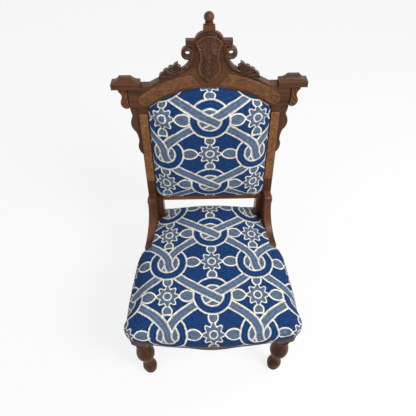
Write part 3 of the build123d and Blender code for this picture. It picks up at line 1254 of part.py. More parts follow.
UP_WEB_X = [(step - (BACK_WEBS_UP - 1) / 2) * BACK_WEB_SPREAD for step in range(BACK_WEBS_UP)]
with BuildPart() as back_webs_up:
    for x in UP_WEB_X:
        outer = abs(x) + WEB_WIDTH / 2
        head = half_arch(ARCH_RADIUS, outer) - SOFT_GAP
        foot = PAD_BOTTOM + SOFT_GAP
        with BuildSketch(BACK.offset(WEB_FLOOR + WEB_THICK + WEB_GAP)):
            with Locations((x, foot)):
                Rectangle(WEB_WIDTH, head - foot, align=(Align.CENTER, Align.MIN))
        extrude(amount=WEB_THICK)
        with BuildSketch(BACK.offset(WEB_FLOOR)):
            with Locations((x, foot)):
                Rectangle(WEB_WIDTH, PAD_RABBET / 2, align=(Align.CENTER, Align.MIN))
            with Locations((x, head)):
                Rectangle(WEB_WIDTH, PAD_RABBET / 2, align=(Align.CENTER, Align.MAX))
        extrude(amount=WEB_THICK + WEB_GAP)
keep("back_webs_up", back_webs_up.part)

with BuildPart() as back_hessian:
    extrude(BACK.offset(BACK_HESSIAN) * pad_outline(0, PAD_CORNER), amount=HESSIAN_THICK)
keep("back_hessian", back_hessian.part)

PAD_LEVELS = (
    (0.0, 0.0),
    (0.28, 0.0),
    (0.5, 2.5),
    (0.68, 8.0),
    (0.82, 18.0),
    (0.92, 34.0),
    (0.98, 56.0),
    (1.0, 82.0),
)


def pad_sections(inset):
    """Sections of the pad's form, shrunk by an inset; a shrunk one also reaches lower."""
    sections = []
    for share, drawn in PAD_LEVELS:
        depth = PAD_BASE - inset + (PAD_CROWN - PAD_BASE) * share
        sections.append(BACK.offset(depth) * pad_outline(drawn + inset, PAD_CORNER))
    return sections


with BuildPart() as pad_inside:
    loft(pad_sections(COVER_THICK))

with BuildPart() as back_cover:
    loft(pad_sections(0))
    add(pad_inside.part, mode=Mode.SUBTRACT)
keep("back_cover", back_cover.part)

with BuildPart() as back_stuffing:
    loft(pad_sections(COVER_THICK + SOFT_GAP))
    with BuildSketch(BACK.offset(PAD_BASE)):
        Rectangle(4 * PAD_HALF, 6 * PAD_HALF)
    extrude(amount=-4 * PAD_CROWN, mode=Mode.SUBTRACT)
keep("back_stuffing", back_stuffing.part)

OUTSIDE_HALF = OPENING_HALF + REAR_RABBET - SOFT_GAP
OUTSIDE_RADIUS = ARCH_INNER + OUTSIDE_LAP
with BuildPart() as outside_back_cover:
    with BuildSketch(BACK.offset(REAR_RABBET_DEPTH - STILE_DEPTH)):
        top = STILE_TOP - SOFT_GAP
        foot = BACK_RAIL_BOTTOM + OUTSIDE_LAP
        with Locations((0, ARCH_CENTRE)):
            Circle(OUTSIDE_RADIUS)
        with Locations((0, top)):
            Rectangle(2 * OUTSIDE_HALF, CREST_CROWN, align=(Align.CENTER, Align.MIN), mode=Mode.INTERSECT)
        with Locations((0, foot)):
            Rectangle(2 * OUTSIDE_HALF, top - foot, align=(Align.CENTER, Align.MIN))
    extrude(amount=-COVER_THICK)
keep("outside_back_cover", outside_back_cover.part)


# Centre the chair on its standing place and write every piece
front = min(part.bounding_box().min.Y for part in pieces.values())
rear = max(part.bounding_box().max.Y for part in pieces.values())
STAND = Location((0, -(front + rear) / 2, 0))
for name, part in pieces.items():
    placed = part.moved(STAND)
    placed.label = name
    export_step(placed, f"parts/{name}.step")
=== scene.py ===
from math import atan2, cos, degrees, exp, hypot, pi, radians, sin

import bpy
import numpy as np
from mathutils import Matrix, Vector


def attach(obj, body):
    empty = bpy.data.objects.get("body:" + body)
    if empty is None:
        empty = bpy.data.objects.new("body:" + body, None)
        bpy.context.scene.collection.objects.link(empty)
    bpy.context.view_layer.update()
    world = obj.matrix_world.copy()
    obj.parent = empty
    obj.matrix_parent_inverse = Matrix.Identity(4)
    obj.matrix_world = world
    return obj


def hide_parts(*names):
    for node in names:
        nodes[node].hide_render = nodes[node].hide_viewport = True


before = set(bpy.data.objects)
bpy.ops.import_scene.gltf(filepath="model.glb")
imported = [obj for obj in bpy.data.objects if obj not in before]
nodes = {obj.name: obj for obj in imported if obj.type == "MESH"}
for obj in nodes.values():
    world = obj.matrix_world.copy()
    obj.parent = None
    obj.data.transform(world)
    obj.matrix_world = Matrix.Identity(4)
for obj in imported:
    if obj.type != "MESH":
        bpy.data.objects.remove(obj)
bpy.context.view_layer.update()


# Back posts: walnut, each rear leg and stile sawn from one plank and planed, so the grain runs up the
# post. The wood has an old rubbed finish: dark streaks and worn arrises, the arrises also lightened as a
# painted highlight, and painted shade with some polish dirt in its hollows and between parts.
BACK_LEAN = radians(11.9)
WALNUT_PALE = (0.150, 0.057, 0.022, 1)
WALNUT_DARK = (0.030, 0.010, 0.005, 1)
# Painted shade with some polish dirt: hollows and gaps between parts darken to the first, carved cuts to
# the second
SHADE_AND_POLISH_DIRT = (0.016, 0.007, 0.004, 1)
CUT_SHADE_AND_POLISH = (0.012, 0.005, 0.003, 1)


def put(tree, kind, props=(), **inputs):
    """Adds a node, sets its properties, and fills or links its inputs."""
    node = tree.nodes.new(kind)
    for name, value in dict(props).items():
        setattr(node, name, value)
    for name, value in inputs.items():
        socket = node.inputs[name.replace("_", " ")]
        if isinstance(value, bpy.types.NodeSocket):
            tree.links.new(value, socket)
        else:
            socket.default_value = value
    return node


def calc(tree, operation, *terms):
    """A Math node's result from sockets and numbers."""
    node = tree.nodes.new("ShaderNodeMath")
    node.operation = operation
    for socket, term in zip(node.inputs, terms):
        if isinstance(term, bpy.types.NodeSocket):
            tree.links.new(term, socket)
        else:
            socket.default_value = term
    return node.outputs[0]


def tint(tree, share, first, second, mode="MIX"):
    """A colour between two, by a share."""
    node = tree.nodes.new("ShaderNodeMix")
    node.data_type = "RGBA"
    node.blend_type = mode
    for socket, term in zip((node.inputs[0], node.inputs[6], node.inputs[7]), (share, first, second)):
        if isinstance(term, bpy.types.NodeSocket):
            tree.links.new(term, socket)
        else:
            socket.default_value = term
    return node.outputs[2]


def span(tree, value, low, high, start=0.0, end=1.0):
    """A value carried from one range to another and held inside it."""
    ends = {"From_Min": low, "From_Max": high, "To_Min": start, "To_Max": end}
    return put(tree, "ShaderNodeMapRange", Value=value, **ends).outputs[0]


def group(name, inputs, outputs):
    """An empty node group with named sockets, and its input and output nodes."""
    tree = bpy.data.node_groups.new(name, "ShaderNodeTree")
    for label, kind in inputs:
        tree.interface.new_socket(label, in_out="INPUT", socket_type="NodeSocket" + kind)
    for label, kind in outputs:
        tree.interface.new_socket(label, in_out="OUTPUT", socket_type="NodeSocket" + kind)
    return tree, tree.nodes.new("NodeGroupInput").outputs, tree.nodes.new("NodeGroupOutput").inputs


# The rubbed walnut finish: pores and streaks along z, worn edges lightened also as a painted highlight,
# and painted shade, with some polish dirt, in hollows, between parts and in carved cuts
walnut_grain, given, made = group(
    "walnut_grain",
    (("Vector", "Vector"), ("Pale", "Color"), ("Dark", "Color"), ("Worn_And_Highlit", "Color")),
    (("Color", "Color"), ("Roughness", "Float"), ("Height", "Float")),
)


def along_grain(tree, vector, across, along):
    """Coordinates squeezed across the grain and drawn out along it, which is their z."""
    node = tree.nodes.new("ShaderNodeVectorMath")
    node.operation = "MULTIPLY"
    tree.links.new(vector, node.inputs[0])
    node.inputs[1].default_value = (across, across, along)
    return node.outputs[0]


tree = walnut_grain
broad = put(
    tree, "ShaderNodeTexNoise", Vector=along_grain(tree, given["Vector"], 26, 2.2), Scale=1.0, Detail=3.0,
    Distortion=0.7,
).outputs["Fac"]
streaks = put(
    tree, "ShaderNodeTexNoise", Vector=along_grain(tree, given["Vector"], 150, 5.0), Scale=1.0, Detail=4.0,
    Roughness=0.6, Distortion=0.4,
).outputs["Fac"]
pores = put(
    tree, "ShaderNodeTexNoise", Vector=along_grain(tree, given["Vector"], 900, 34.0), Scale=1.0, Detail=1.0,
).outputs["Fac"]
pores = span(tree, pores, 0.58, 0.70)
tone = calc(tree, "ADD", calc(tree, "MULTIPLY", broad, 0.55), calc(tree, "MULTIPLY", streaks, 0.45))
wood = tint(tree, span(tree, tone, 0.34, 0.66), given["Dark"], given["Pale"])
wood = tint(tree, calc(tree, "MULTIPLY", pores, 0.45), wood, given["Dark"])
rounded = put(tree, "ShaderNodeBevel", {"samples": 4}, Radius=0.0022).outputs[0]
flat = tree.nodes.new("ShaderNodeNewGeometry").outputs["Normal"]
facing = put(tree, "ShaderNodeVectorMath", {"operation": "DOT_PRODUCT"})
tree.links.new(rounded, facing.inputs[0])
tree.links.new(flat, facing.inputs[1])
rubbing = put(tree, "ShaderNodeTexNoise", Vector=given["Vector"], Scale=55.0, Detail=2.0).outputs["Fac"]
# Arrises are lightened patchily towards the edge colour: partly wear, partly a painted highlight
edge_wear_and_highlight = span(tree, facing.outputs["Value"], 0.995, 0.90)
edge_wear_and_highlight = calc(tree, "MULTIPLY", edge_wear_and_highlight, span(tree, rubbing, 0.36, 0.62, 0.05, 0.6))
wood = tint(tree, edge_wear_and_highlight, wood, given["Worn_And_Highlit"])
# Painted shade: ambient occlusion darkens hollows and the gaps between parts, where shade falls, with some
# polish dirt
occlusion_shade = put(tree, "ShaderNodeAmbientOcclusion", {"samples": 6}, Distance=0.014).outputs["AO"]
occlusion_shade = span(tree, occlusion_shade, 0.25, 0.85, 0.62, 0.0)
wood = tint(tree, occlusion_shade, wood, SHADE_AND_POLISH_DIRT)
# Painted shade in the carved cuts, with some polish dirt: darkest where a cut lies deepest
cut_shade_mask = put(tree, "ShaderNodeAttribute", {"attribute_name": "hollow"}).outputs["Fac"]
wood = tint(tree, calc(tree, "MULTIPLY", cut_shade_mask, 0.86), wood, CUT_SHADE_AND_POLISH)
tree.links.new(wood, made["Color"])
sheen = calc(tree, "ADD", span(tree, streaks, 0.3, 0.7, 0.40, 0.30), calc(tree, "MULTIPLY", occlusion_shade, 0.35))
tree.links.new(sheen, made["Roughness"])
tree.links.new(
    calc(tree, "SUBTRACT", calc(tree, "MULTIPLY", streaks, 0.25), calc(tree, "MULTIPLY", pores, 0.5)),
    made["Height"],
)


def walnut(name, turn, shift=(0, 0, 0), pale=WALNUT_PALE, dark=WALNUT_DARK, gloss=0.20):
    """A walnut finish. The turn brings the run of the grain to z; the shift picks a place in the wood."""
    material = bpy.data.materials.new(name)
    material.use_nodes = True
    tree = material.node_tree
    surface = tree.nodes["Principled BSDF"]
    places = tree.nodes.new("ShaderNodeTexCoord").outputs["Object"]
    places = put(tree, "ShaderNodeMapping", Vector=places, Rotation=turn, Location=shift).outputs[0]
    grain = tree.nodes.new("ShaderNodeGroup")
    grain.node_tree = walnut_grain
    tree.links.new(places, grain.inputs["Vector"])
    grain.inputs["Pale"].default_value = pale
    grain.inputs["Dark"].default_value = dark
    # The edge colour, paler than the wood: wear on the arrises and a painted highlight
    grain.inputs["Worn_And_Highlit"].default_value = tuple(min(1, 1.55 * part + 0.02) for part in pale[:3]) + (1,)
    tree.links.new(grain.outputs["Color"], surface.inputs["Base Color"])
    tree.links.new(grain.outputs["Roughness"], surface.inputs["Roughness"])
    soft = put(tree, "ShaderNodeBevel", {"samples": 4}, Radius=0.0012).outputs[0]
    pits = grain.outputs["Height"]
    bump = put(tree, "ShaderNodeBump", Distance=0.00035, Height=pits, Normal=soft, Strength=0.6)
    tree.links.new(bump.outputs[0], surface.inputs["Normal"])
    surface.inputs["Specular IOR Level"].default_value = gloss
    return material


def finish(material, *names):
    """Gives CAD nodes a finish in all their slots."""
    for name in names:
        nodes[name].data.materials.clear()
        nodes[name].data.materials.append(material)


UP_THE_BACK = (BACK_LEAN, 0, 0)
ACROSS = (0, pi / 2, 0)
post_walnut = walnut("post_walnut", UP_THE_BACK)
finish(post_walnut, "left_back_post", "right_back_post")


# Lower back rail: a straight walnut rail below the pad, tenoned into mortises in the posts. Its walnut is
# painted paler than the rest: painted light, lifting the rail out of the shade under the pad.
back_rail_walnut_painted_light = walnut(
    "back_rail_walnut_painted_light", ACROSS, shift=(0.3, 0.1, 0.7),
    pale=(0.290, 0.112, 0.048, 1), dark=(0.085, 0.030, 0.014, 1),
)
finish(back_rail_walnut_painted_light, "lower_back_rail")


# Crest rail: one walnut plank sawn to an arch with square ears, dowelled on top of the stiles. The grain
# runs across the chair.
crest_walnut = walnut("crest_walnut", ACROSS, shift=(1.3, 0.4, 0.2))
finish(crest_walnut, "crest_rail")


# Ear caps and corbels: walnut blocks on and under the ears, the caps pinned and the corbels glued. The caps
# are plain; the corbels' fronts are carved with the curved ribs of a folded leaf.
ear_walnut = walnut("ear_walnut", ACROSS, shift=(2.1, 0.8, 0.5))
finish(ear_walnut, "left_ear_cap", "right_ear_cap")
UP_BACK = Vector((0, sin(BACK_LEAN), cos(BACK_LEAN)))
TO_SITTER = Vector((0, -cos(BACK_LEAN), sin(BACK_LEAN)))
BACK_ORIGIN = (0, 0.14543, 0.5)
BACK_TURN = Matrix((Vector((1, 0, 0)), UP_BACK, TO_SITTER)).transposed().to_4x4()
ON_BACK = Matrix.Translation(BACK_ORIGIN) @ BACK_TURN  # x, rise and depth on the leaning back
CUT = 0.0008
RIB_CENTRE = (0.240, 0.336)
RIB_PITCH = 0.0080


def active(obj):
    """Leaves only this object selected."""
    bpy.ops.object.select_all(action="DESELECT")
    obj.select_set(True)
    bpy.context.view_layer.objects.active = obj


def copy_of(node, name):
    """A new piece with a node's shape, its seams merged."""
    piece = bpy.data.objects.new(name, nodes[node].data.copy())
    bpy.context.scene.collection.objects.link(piece)
    piece.data.materials.clear()
    active(piece)
    bpy.ops.object.mode_set(mode="EDIT")
    bpy.ops.mesh.select_all(action="SELECT")
    bpy.ops.mesh.remove_doubles(threshold=0.00002)
    bpy.ops.mesh.select_all(action="DESELECT")
    bpy.ops.object.mode_set(mode="OBJECT")
    return piece


def carved(node, relief, material, front, depth):
    """A piece of the crest with its front worked by a relief, a height for each x and rise, in metres.
    The cut is darkened as painted shade with some polish dirt, most where it lies that depth behind its
    front."""
    piece = copy_of(node, node + "_carved")
    piece.data.transform(ON_BACK.inverted())
    piece.data.remesh_voxel_size = CUT
    piece.data.use_remesh_fix_poles = False
    bpy.ops.object.voxel_remesh()
    facing = [min(1, max(0, (point.normal.z - 0.3) / 0.4)) for point in piece.data.vertices]
    # A share of painted shade for each point, by how deep it lies behind the front of the carving
    hollow = piece.data.attributes.new("hollow", "FLOAT", "POINT")
    for point, share, dark in zip(piece.data.vertices, facing, hollow.data):
        point.co.z += share * relief(abs(point.co.x), point.co.y)
        dark.value = share * min(1, max(0, (front - point.co.z) / depth))
    piece.data.transform(ON_BACK)
    bpy.ops.object.shade_smooth()
    piece.data.materials.append(material)
    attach(piece, "root")
    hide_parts(node)


def corbel_ribs(x, rise):
    """Ribs that curve round a point outside the corbel."""
    return 0.0011 * cos(2 * pi * hypot(x - RIB_CENTRE[0], rise - RIB_CENTRE[1]) / RIB_PITCH) - 0.0003


corbel_walnut = walnut(
    "corbel_walnut", ACROSS, shift=(2.7, 0.1, 0.9),
    pale=(0.220, 0.080, 0.028, 1), dark=(0.075, 0.026, 0.010, 1),
)
for side in ("left_", "right_"):
    carved(side + "ear_corbel", corbel_ribs, corbel_walnut, front=0.0070, depth=0.0026)


# Wings: thin scalloped walnut boards glued to the outer edges of the stiles, redder than the rest. Their
# grain runs up the back.
wing_walnut = walnut(
    "wing_walnut", UP_THE_BACK, shift=(3.3, 0.2, 1.5),
    pale=(0.135, 0.052, 0.027, 1), dark=(0.042, 0.015, 0.009, 1),
)
finish(wing_walnut, "left_stile_wing", "right_stile_wing")


# Crest ornament: a walnut pediment and turned finial on pins, and scrolls, leaf sprays and a shield, carved
# from walnut and glued on. The scrolls are moulded along their bands, the sprays are lobed, and the shield
# has a leaf over a chain of husks.
carved_walnut = walnut(
    "carved_walnut", UP_THE_BACK, shift=(4.2, 0.6, 0.1),
    pale=(0.178, 0.072, 0.031, 1), dark=(0.045, 0.017, 0.009, 1),
)
finish(carved_walnut, "crest_finial")
VOLUTE = (0.0495, 0.426)
VOLUTE_MIDDLE = 0.01025
BAND_CENTRE = (0.0853, 0.427)
BAND_MIDDLE = 0.0465
NECK_TOP = 0.440
SHOULDER_LINE = 0.4455
CAP_CENTRE = 0.4475
SPRAY_ROOT = (0.066, 0.372)
SPRAY_NOTCHES = (-20, 10.8, 28.2, 50.8, 79.7, 110)
LEAF_ROOT = 0.428
HUSK_TOP = 0.4185
HUSK_PITCH = 0.0131
HUSKS = [(HUSK_TOP - HUSK_PITCH * step, 0.0055 - 0.0008 * step) for step in range(4)]


def ridge(away, width):
    """1 on a line and next to nothing a few widths away from it."""
    return exp(-((away / width) ** 2))


def from_band(x, rise):
    """How far a place lies outside the middle of the scroll's band."""
    return hypot(x - BAND_CENTRE[0], rise - BAND_CENTRE[1]) - BAND_MIDDLE


def scroll_mould(x, rise):
    """A rounded band with a groove along each side of its middle."""
    ring = abs(hypot(x - VOLUTE[0], rise - VOLUTE[1]) - VOLUTE_MIDDLE)
    out = min(ring, abs(from_band(x, rise)))
    return 0.0009 * (1 - (out / 0.004) ** 2) - 0.0016 * ridge(out - 0.0022, 0.0009)


def pediment_lines(x, rise):
    """Two grooves that follow the scroll's band, and one under each shoulder and round the cap."""
    band = from_band(x, rise)
    height = 0.0
    if rise < NECK_TOP:
        height -= 0.0016 * ridge(band - 0.0075, 0.0010) + 0.0012 * ridge(band - 0.0125, 0.0010)
    height -= 0.0014 * ridge(rise - SHOULDER_LINE, 0.0010) * (x > 0.030)
    height -= 0.0014 * ridge(hypot(x, rise - CAP_CENTRE) - 0.0255, 0.0010) * (rise > 0.454)
    return height


def spray_lobes(x, rise):
    """Rounded lobes that fan out from the spray's root, each with a cut vein."""
    turn = degrees(atan2(rise - SPRAY_ROOT[1], x - SPRAY_ROOT[0]))
    lobe = float(np.interp(turn, SPRAY_NOTCHES, range(6))) % 1
    return 0.0032 * sin(pi * lobe) ** 0.7 - 0.0022 * ridge(lobe - 0.5, 0.10) - 0.0018


def shield_leaf(x, rise):
    """A spread leaf with a vein in each lobe, a ring cut in each husk, and a wavy stem beside the husks."""
    reach = hypot(x, rise - LEAF_ROOT)
    turn = degrees(atan2(x, rise - LEAF_ROOT))
    away = (turn + 20) % 40 - 20
    edge = (0.034 - 0.00013 * turn) * (0.60 + 0.40 * cos(radians(away * 4.5)) ** 0.8)
    height = 0.0
    if reach < edge and turn < 115:
        height = 0.0024 * (1 - (reach / edge) ** 2) ** 0.5
        height -= 0.0022 * ridge(reach * sin(radians(away)), 0.0010)
    for place, size in HUSKS:
        height -= 0.0019 * ridge(hypot(x, rise - place) - 0.52 * size, 0.0008)
    if rise < LEAF_ROOT - 0.004:
        stem = 0.0084 + 0.0024 * cos(2 * pi * (rise - HUSK_TOP) / HUSK_PITCH) - 0.05 * (HUSK_TOP - rise)
        height += 0.0019 * ridge(x - stem, 0.0011) - 0.0016 * ridge(x - stem - 0.0026, 0.0009)
    return height


for side in ("left_", "right_"):
    carved(side + "scroll", scroll_mould, carved_walnut, front=0.0066, depth=0.0019)
    carved(side + "leaf_spray", spray_lobes, carved_walnut, front=0.0091, depth=0.0024)
carved("crest_shield", shield_leaf, carved_walnut, front=0.0074, depth=0.0032)
carved("crest_pediment", pediment_lines, crest_walnut, front=0.0029, depth=0.0013)


# Burl panels: thin walnut burl veneer with swirling figure, glued on the crest and, paler, on the stiles.
# The veneer is polished, with dark eyes, and painted shade with some dirt along its edges and in hollows.
BURL_PALE = (0.222, 0.094, 0.038, 1)
BURL_DARK = (0.078, 0.029, 0.013, 1)
STRIP_PALE = (0.315, 0.130, 0.042, 1)
STRIP_DARK = (0.105, 0.039, 0.014, 1)
BURL_EYE = (0.060, 0.024, 0.010, 1)


def burl(name, pale, dark):
    """A burl veneer: clouds and swirls between two tones, with small dark eyes."""
    material = bpy.data.materials.new(name)
    material.use_nodes = True
    tree = material.node_tree
    surface = tree.nodes["Principled BSDF"]
    places = tree.nodes.new("ShaderNodeTexCoord").outputs["Object"]
    swirl = put(tree, "ShaderNodeTexNoise", Vector=places, Scale=40.0, Detail=3.0, Distortion=2.4)
    clouds = put(
        tree, "ShaderNodeTexNoise", Vector=places, Scale=150.0, Detail=5.0, Roughness=0.65, Distortion=1.2
    ).outputs["Fac"]
    eyes = put(tree, "ShaderNodeTexVoronoi", {"feature": "F1"}, Vector=swirl.outputs["Color"], Scale=9.0)
    swirls = calc(tree, "MULTIPLY", swirl.outputs["Fac"], 0.45)
    figure = calc(tree, "ADD", calc(tree, "MULTIPLY", clouds, 0.55), swirls)
    veneer = tint(tree, span(tree, figure, 0.37, 0.63), dark, pale)
    veneer = tint(tree, span(tree, eyes.outputs["Distance"], 0.16, 0.02, 0.0, 0.5), veneer, BURL_EYE)
    # Painted shade: ambient occlusion darkens the veneer along its edges and in hollows, with some dirt
    occlusion_shade = put(tree, "ShaderNodeAmbientOcclusion", {"samples": 6}, Distance=0.006).outputs["AO"]
    veneer = tint(tree, span(tree, occlusion_shade, 0.3, 0.85, 0.7, 0.0), veneer, SHADE_AND_POLISH_DIRT)
    tree.links.new(veneer, surface.inputs["Base Color"])
    tree.links.new(span(tree, clouds, 0.3, 0.7, 0.36, 0.26), surface.inputs["Roughness"])
    bump = put(tree, "ShaderNodeBump", Distance=0.0002, Height=clouds, Strength=0.4)
    tree.links.new(bump.outputs[0], surface.inputs["Normal"])
    surface.inputs["Specular IOR Level"].default_value = 0.22
    return material


finish(burl("crest_burl", BURL_PALE, BURL_DARK), "left_crest_panel", "right_crest_panel")
finish(burl("stile_burl", STRIP_PALE, STRIP_DARK), "left_stile_panel", "right_stile_panel")


# Front legs: walnut, turned to a bell foot below a square block that the rails are dowelled to. The grain
# runs up the leg and the polish is dull.
leg_walnut = walnut(
    "leg_walnut", (0, 0, 0), shift=(5.1, 0.3, 0.6),
    pale=(0.160, 0.056, 0.020, 1), dark=(0.038, 0.012, 0.005, 1), gloss=0.03,
)
finish(leg_walnut, "left_front_leg", "right_front_leg")


# Seat rails: walnut, sawn to the seat's plan and dowelled to the legs and posts. The front rail drops to a
# shallow apron.
side_walnut = walnut("side_walnut", (pi / 2, 0, 0), shift=(6.4, 0.2, 0.3), gloss=0.06)
finish(side_walnut, "left_side_rail", "right_side_rail")
rail_walnut = walnut("rail_walnut", ACROSS, shift=(0.3, 0.1, 0.7), gloss=0.06)
finish(rail_walnut, "front_rail", "rear_rail")


# Hip brackets: solid walnut knees, rolled over at the top, that brace the stiles against the side rails.
# Each is sawn from one block and pinned to both.
knee_walnut = walnut(
    "knee_walnut", (radians(25), 0, 0), shift=(7.7, 0.5, 0.8),
    pale=(0.185, 0.066, 0.024, 1), dark=(0.042, 0.013, 0.006, 1),
)
finish(knee_walnut, "left_hip_bracket", "right_hip_bracket")


# Hidden joinery: beech dowels, pins and corner blocks, and steel screws. The pediment's two pins lie in
# grooves that are open at its back, so they are stained like the crest.
beech = walnut(
    "beech", (0, 0, 0), shift=(8.2, 0, 0), pale=(0.52, 0.36, 0.21, 1), dark=(0.33, 0.20, 0.10, 1)
)
finish(
    beech, "crest_dowels", "side_rail_dowels", "front_rail_dowels", "rear_rail_dowels", "ear_pins",
    "bracket_pins", "corner_blocks",
)
finish(post_walnut, "pediment_pins")
STEEL_BARE = (0.33, 0.32, 0.31, 1)
STEEL_RUST = (0.16, 0.10, 0.07, 1)
steel = bpy.data.materials.new("dull_steel")
steel.use_nodes = True
tree = steel.node_tree
surface = tree.nodes["Principled BSDF"]
places = tree.nodes.new("ShaderNodeTexCoord").outputs["Object"]
spots = put(tree, "ShaderNodeTexNoise", Vector=places, Scale=220.0, Detail=4.0).outputs["Fac"]
rusty = span(tree, spots, 0.45, 0.7)
tree.links.new(tint(tree, rusty, STEEL_BARE, STEEL_RUST), surface.inputs["Base Color"])
tree.links.new(span(tree, spots, 0.3, 0.7, 0.38, 0.62), surface.inputs["Roughness"])
surface.inputs["Metallic"].default_value = 1.0
finish(steel, "corner_screws", "seat_springs")


# Webbing, hessian and stuffing: jute strips tacked across the frames, coarse hessian over them and over the
# springs, and fibre above, which the covers hide.
cloth_weave, given, made = group(
    "cloth_weave",
    (("Vector", "Vector"), ("Thread", "Color"), ("Shade", "Color"), ("Pitch", "Float")),
    (("Color", "Color"), ("Height", "Float")),
)
tree = cloth_weave
threads = put(tree, "ShaderNodeSeparateXYZ", Vector=given["Vector"])
warp = calc(tree, "SINE", calc(tree, "MULTIPLY", threads.outputs[0], given["Pitch"]))
weft = calc(tree, "SINE", calc(tree, "MULTIPLY", threads.outputs[1], given["Pitch"]))
crossing = calc(tree, "MULTIPLY", warp, weft)
slubs = put(tree, "ShaderNodeTexNoise", Vector=given["Vector"], Scale=160.0, Detail=3.0).outputs["Fac"]
shade = calc(tree, "ADD", span(tree, crossing, -1, 1, 0, 0.5), calc(tree, "MULTIPLY", slubs, 0.5))
tree.links.new(tint(tree, shade, given["Shade"], given["Thread"]), made["Color"])
tree.links.new(crossing, made["Height"])


def woven(name, thread, shade, pitch, turn=(0, 0, 0)):
    """A plain woven cloth with threads along x and y, at a pitch in metres."""
    material = bpy.data.materials.new(name)
    material.use_nodes = True
    tree = material.node_tree
    surface = tree.nodes["Principled BSDF"]
    places = tree.nodes.new("ShaderNodeTexCoord").outputs["Object"]
    places = put(tree, "ShaderNodeMapping", Vector=places, Rotation=turn).outputs[0]
    weave = tree.nodes.new("ShaderNodeGroup")
    weave.node_tree = cloth_weave
    tree.links.new(places, weave.inputs["Vector"])
    weave.inputs["Thread"].default_value = thread
    weave.inputs["Shade"].default_value = shade
    weave.inputs["Pitch"].default_value = pi / pitch
    tree.links.new(weave.outputs["Color"], surface.inputs["Base Color"])
    bump = put(tree, "ShaderNodeBump", Distance=pitch / 4, Height=weave.outputs["Height"], Strength=0.5)
    tree.links.new(bump.outputs[0], surface.inputs["Normal"])
    surface.inputs["Roughness"].default_value = 0.9
    return material


FACING_BACK = (pi / 2 - BACK_LEAN, 0, 0)
JUTE = ((0.42, 0.30, 0.17, 1), (0.23, 0.15, 0.08, 1), 0.0016)
HESSIAN = ((0.46, 0.35, 0.21, 1), (0.25, 0.17, 0.09, 1), 0.0022)
finish(woven("jute_webbing", *JUTE), "long_seat_webs", "cross_seat_webs")
finish(woven("jute_back_webbing", *JUTE, FACING_BACK), "back_webs_across", "back_webs_up")
finish(woven("hessian", *HESSIAN), "seat_hessian", "seat_stuffing")
finish(woven("back_hessian", *HESSIAN, FACING_BACK), "back_hessian", "back_stuffing")


# Cover fabric: a firm stitched furnishing cloth in navy, slate and cream, of a generic design: slate ogee
# straps threaded through navy rings, and a rosette with pointed leaves in each cell. u and v are metres on
# the cloth, across and up.
NAVY = (0.0092, 0.042, 0.142, 1)
SLATE = (0.095, 0.141, 0.224, 1)
CREAM = (0.760, 0.700, 0.580, 1)
REPEAT_ACROSS = 0.24
REPEAT_UP = 0.40
RING = 0.040
STRAP = 0.0085
STRAP_EDGE = 0.0130
OUTLINE = 0.0042
STITCH_ROW = 0.0056

strapwork, given, made = group(
    "strapwork",
    (("UV", "Vector"), ("Navy", "Color"), ("Slate", "Color"), ("Cream", "Color")),
    (("Color", "Color"), ("Height", "Float")),
)
tree = strapwork
wobble = put(tree, "ShaderNodeTexNoise", Vector=given["UV"], Scale=38.0, Detail=3.0).outputs["Color"]
wobble = put(tree, "ShaderNodeVectorMath", {"operation": "SUBTRACT"}, Vector=wobble)
wobble.inputs[1].default_value = (0.5, 0.5, 0.5)
loose = put(tree, "ShaderNodeVectorMath", {"operation": "SCALE"}, Scale=0.0030)
tree.links.new(wobble.outputs[0], loose.inputs[0])
cloth = tree.nodes.new("ShaderNodeVectorMath")
tree.links.new(given["UV"], cloth.inputs[0])
tree.links.new(loose.outputs[0], cloth.inputs[1])
cloth = put(tree, "ShaderNodeSeparateXYZ", Vector=cloth.outputs[0])
u, v = cloth.outputs[0], cloth.outputs[1]


def choose(share, off, on):
    """One value of the pattern or the other, by a share of 0 or 1."""
    node = put(tree, "ShaderNodeMix", {"data_type": "FLOAT"})
    for socket, term in ((node.inputs[0], share), (node.inputs[2], off), (node.inputs[3], on)):
        tree.links.new(term, socket)
    return node.outputs[0]


def distance(x, y):
    """How far a place lies from a motif's middle."""
    return calc(tree, "SQRT", calc(tree, "ADD", calc(tree, "MULTIPLY", x, x), calc(tree, "MULTIPLY", y, y)))


def repeated(value, shift, repeat):
    """A place measured from the nearest repeat of a shifted one."""
    return calc(tree, "WRAP", calc(tree, "SUBTRACT", value, shift), repeat / 2, -repeat / 2)


# Two mirrored straps swing across each repeat and pass over and under each other
phase = calc(tree, "MULTIPLY", v, 2 * pi / REPEAT_UP)
bow, sway = calc(tree, "COSINE", phase), calc(tree, "SINE", phase)
reach = calc(tree, "MULTIPLY", bow, REPEAT_ACROSS / 2)
steep = calc(tree, "MULTIPLY", sway, pi * REPEAT_ACROSS / REPEAT_UP)
steep = calc(tree, "SQRT", calc(tree, "ADD", calc(tree, "MULTIPLY", steep, steep), 1.0))
lines = []
for turn in ("SUBTRACT", "ADD"):
    offset = calc(tree, "WRAP", calc(tree, turn, u, reach), REPEAT_ACROSS / 2, -REPEAT_ACROSS / 2)
    lines.append(calc(tree, "DIVIDE", calc(tree, "ABSOLUTE", offset), steep))
first_over = calc(tree, "GREATER_THAN", sway, 0.0)
over, under = choose(first_over, lines[1], lines[0]), choose(first_over, lines[0], lines[1])
strap = choose(calc(tree, "LESS_THAN", over, STRAP_EDGE), under, over)

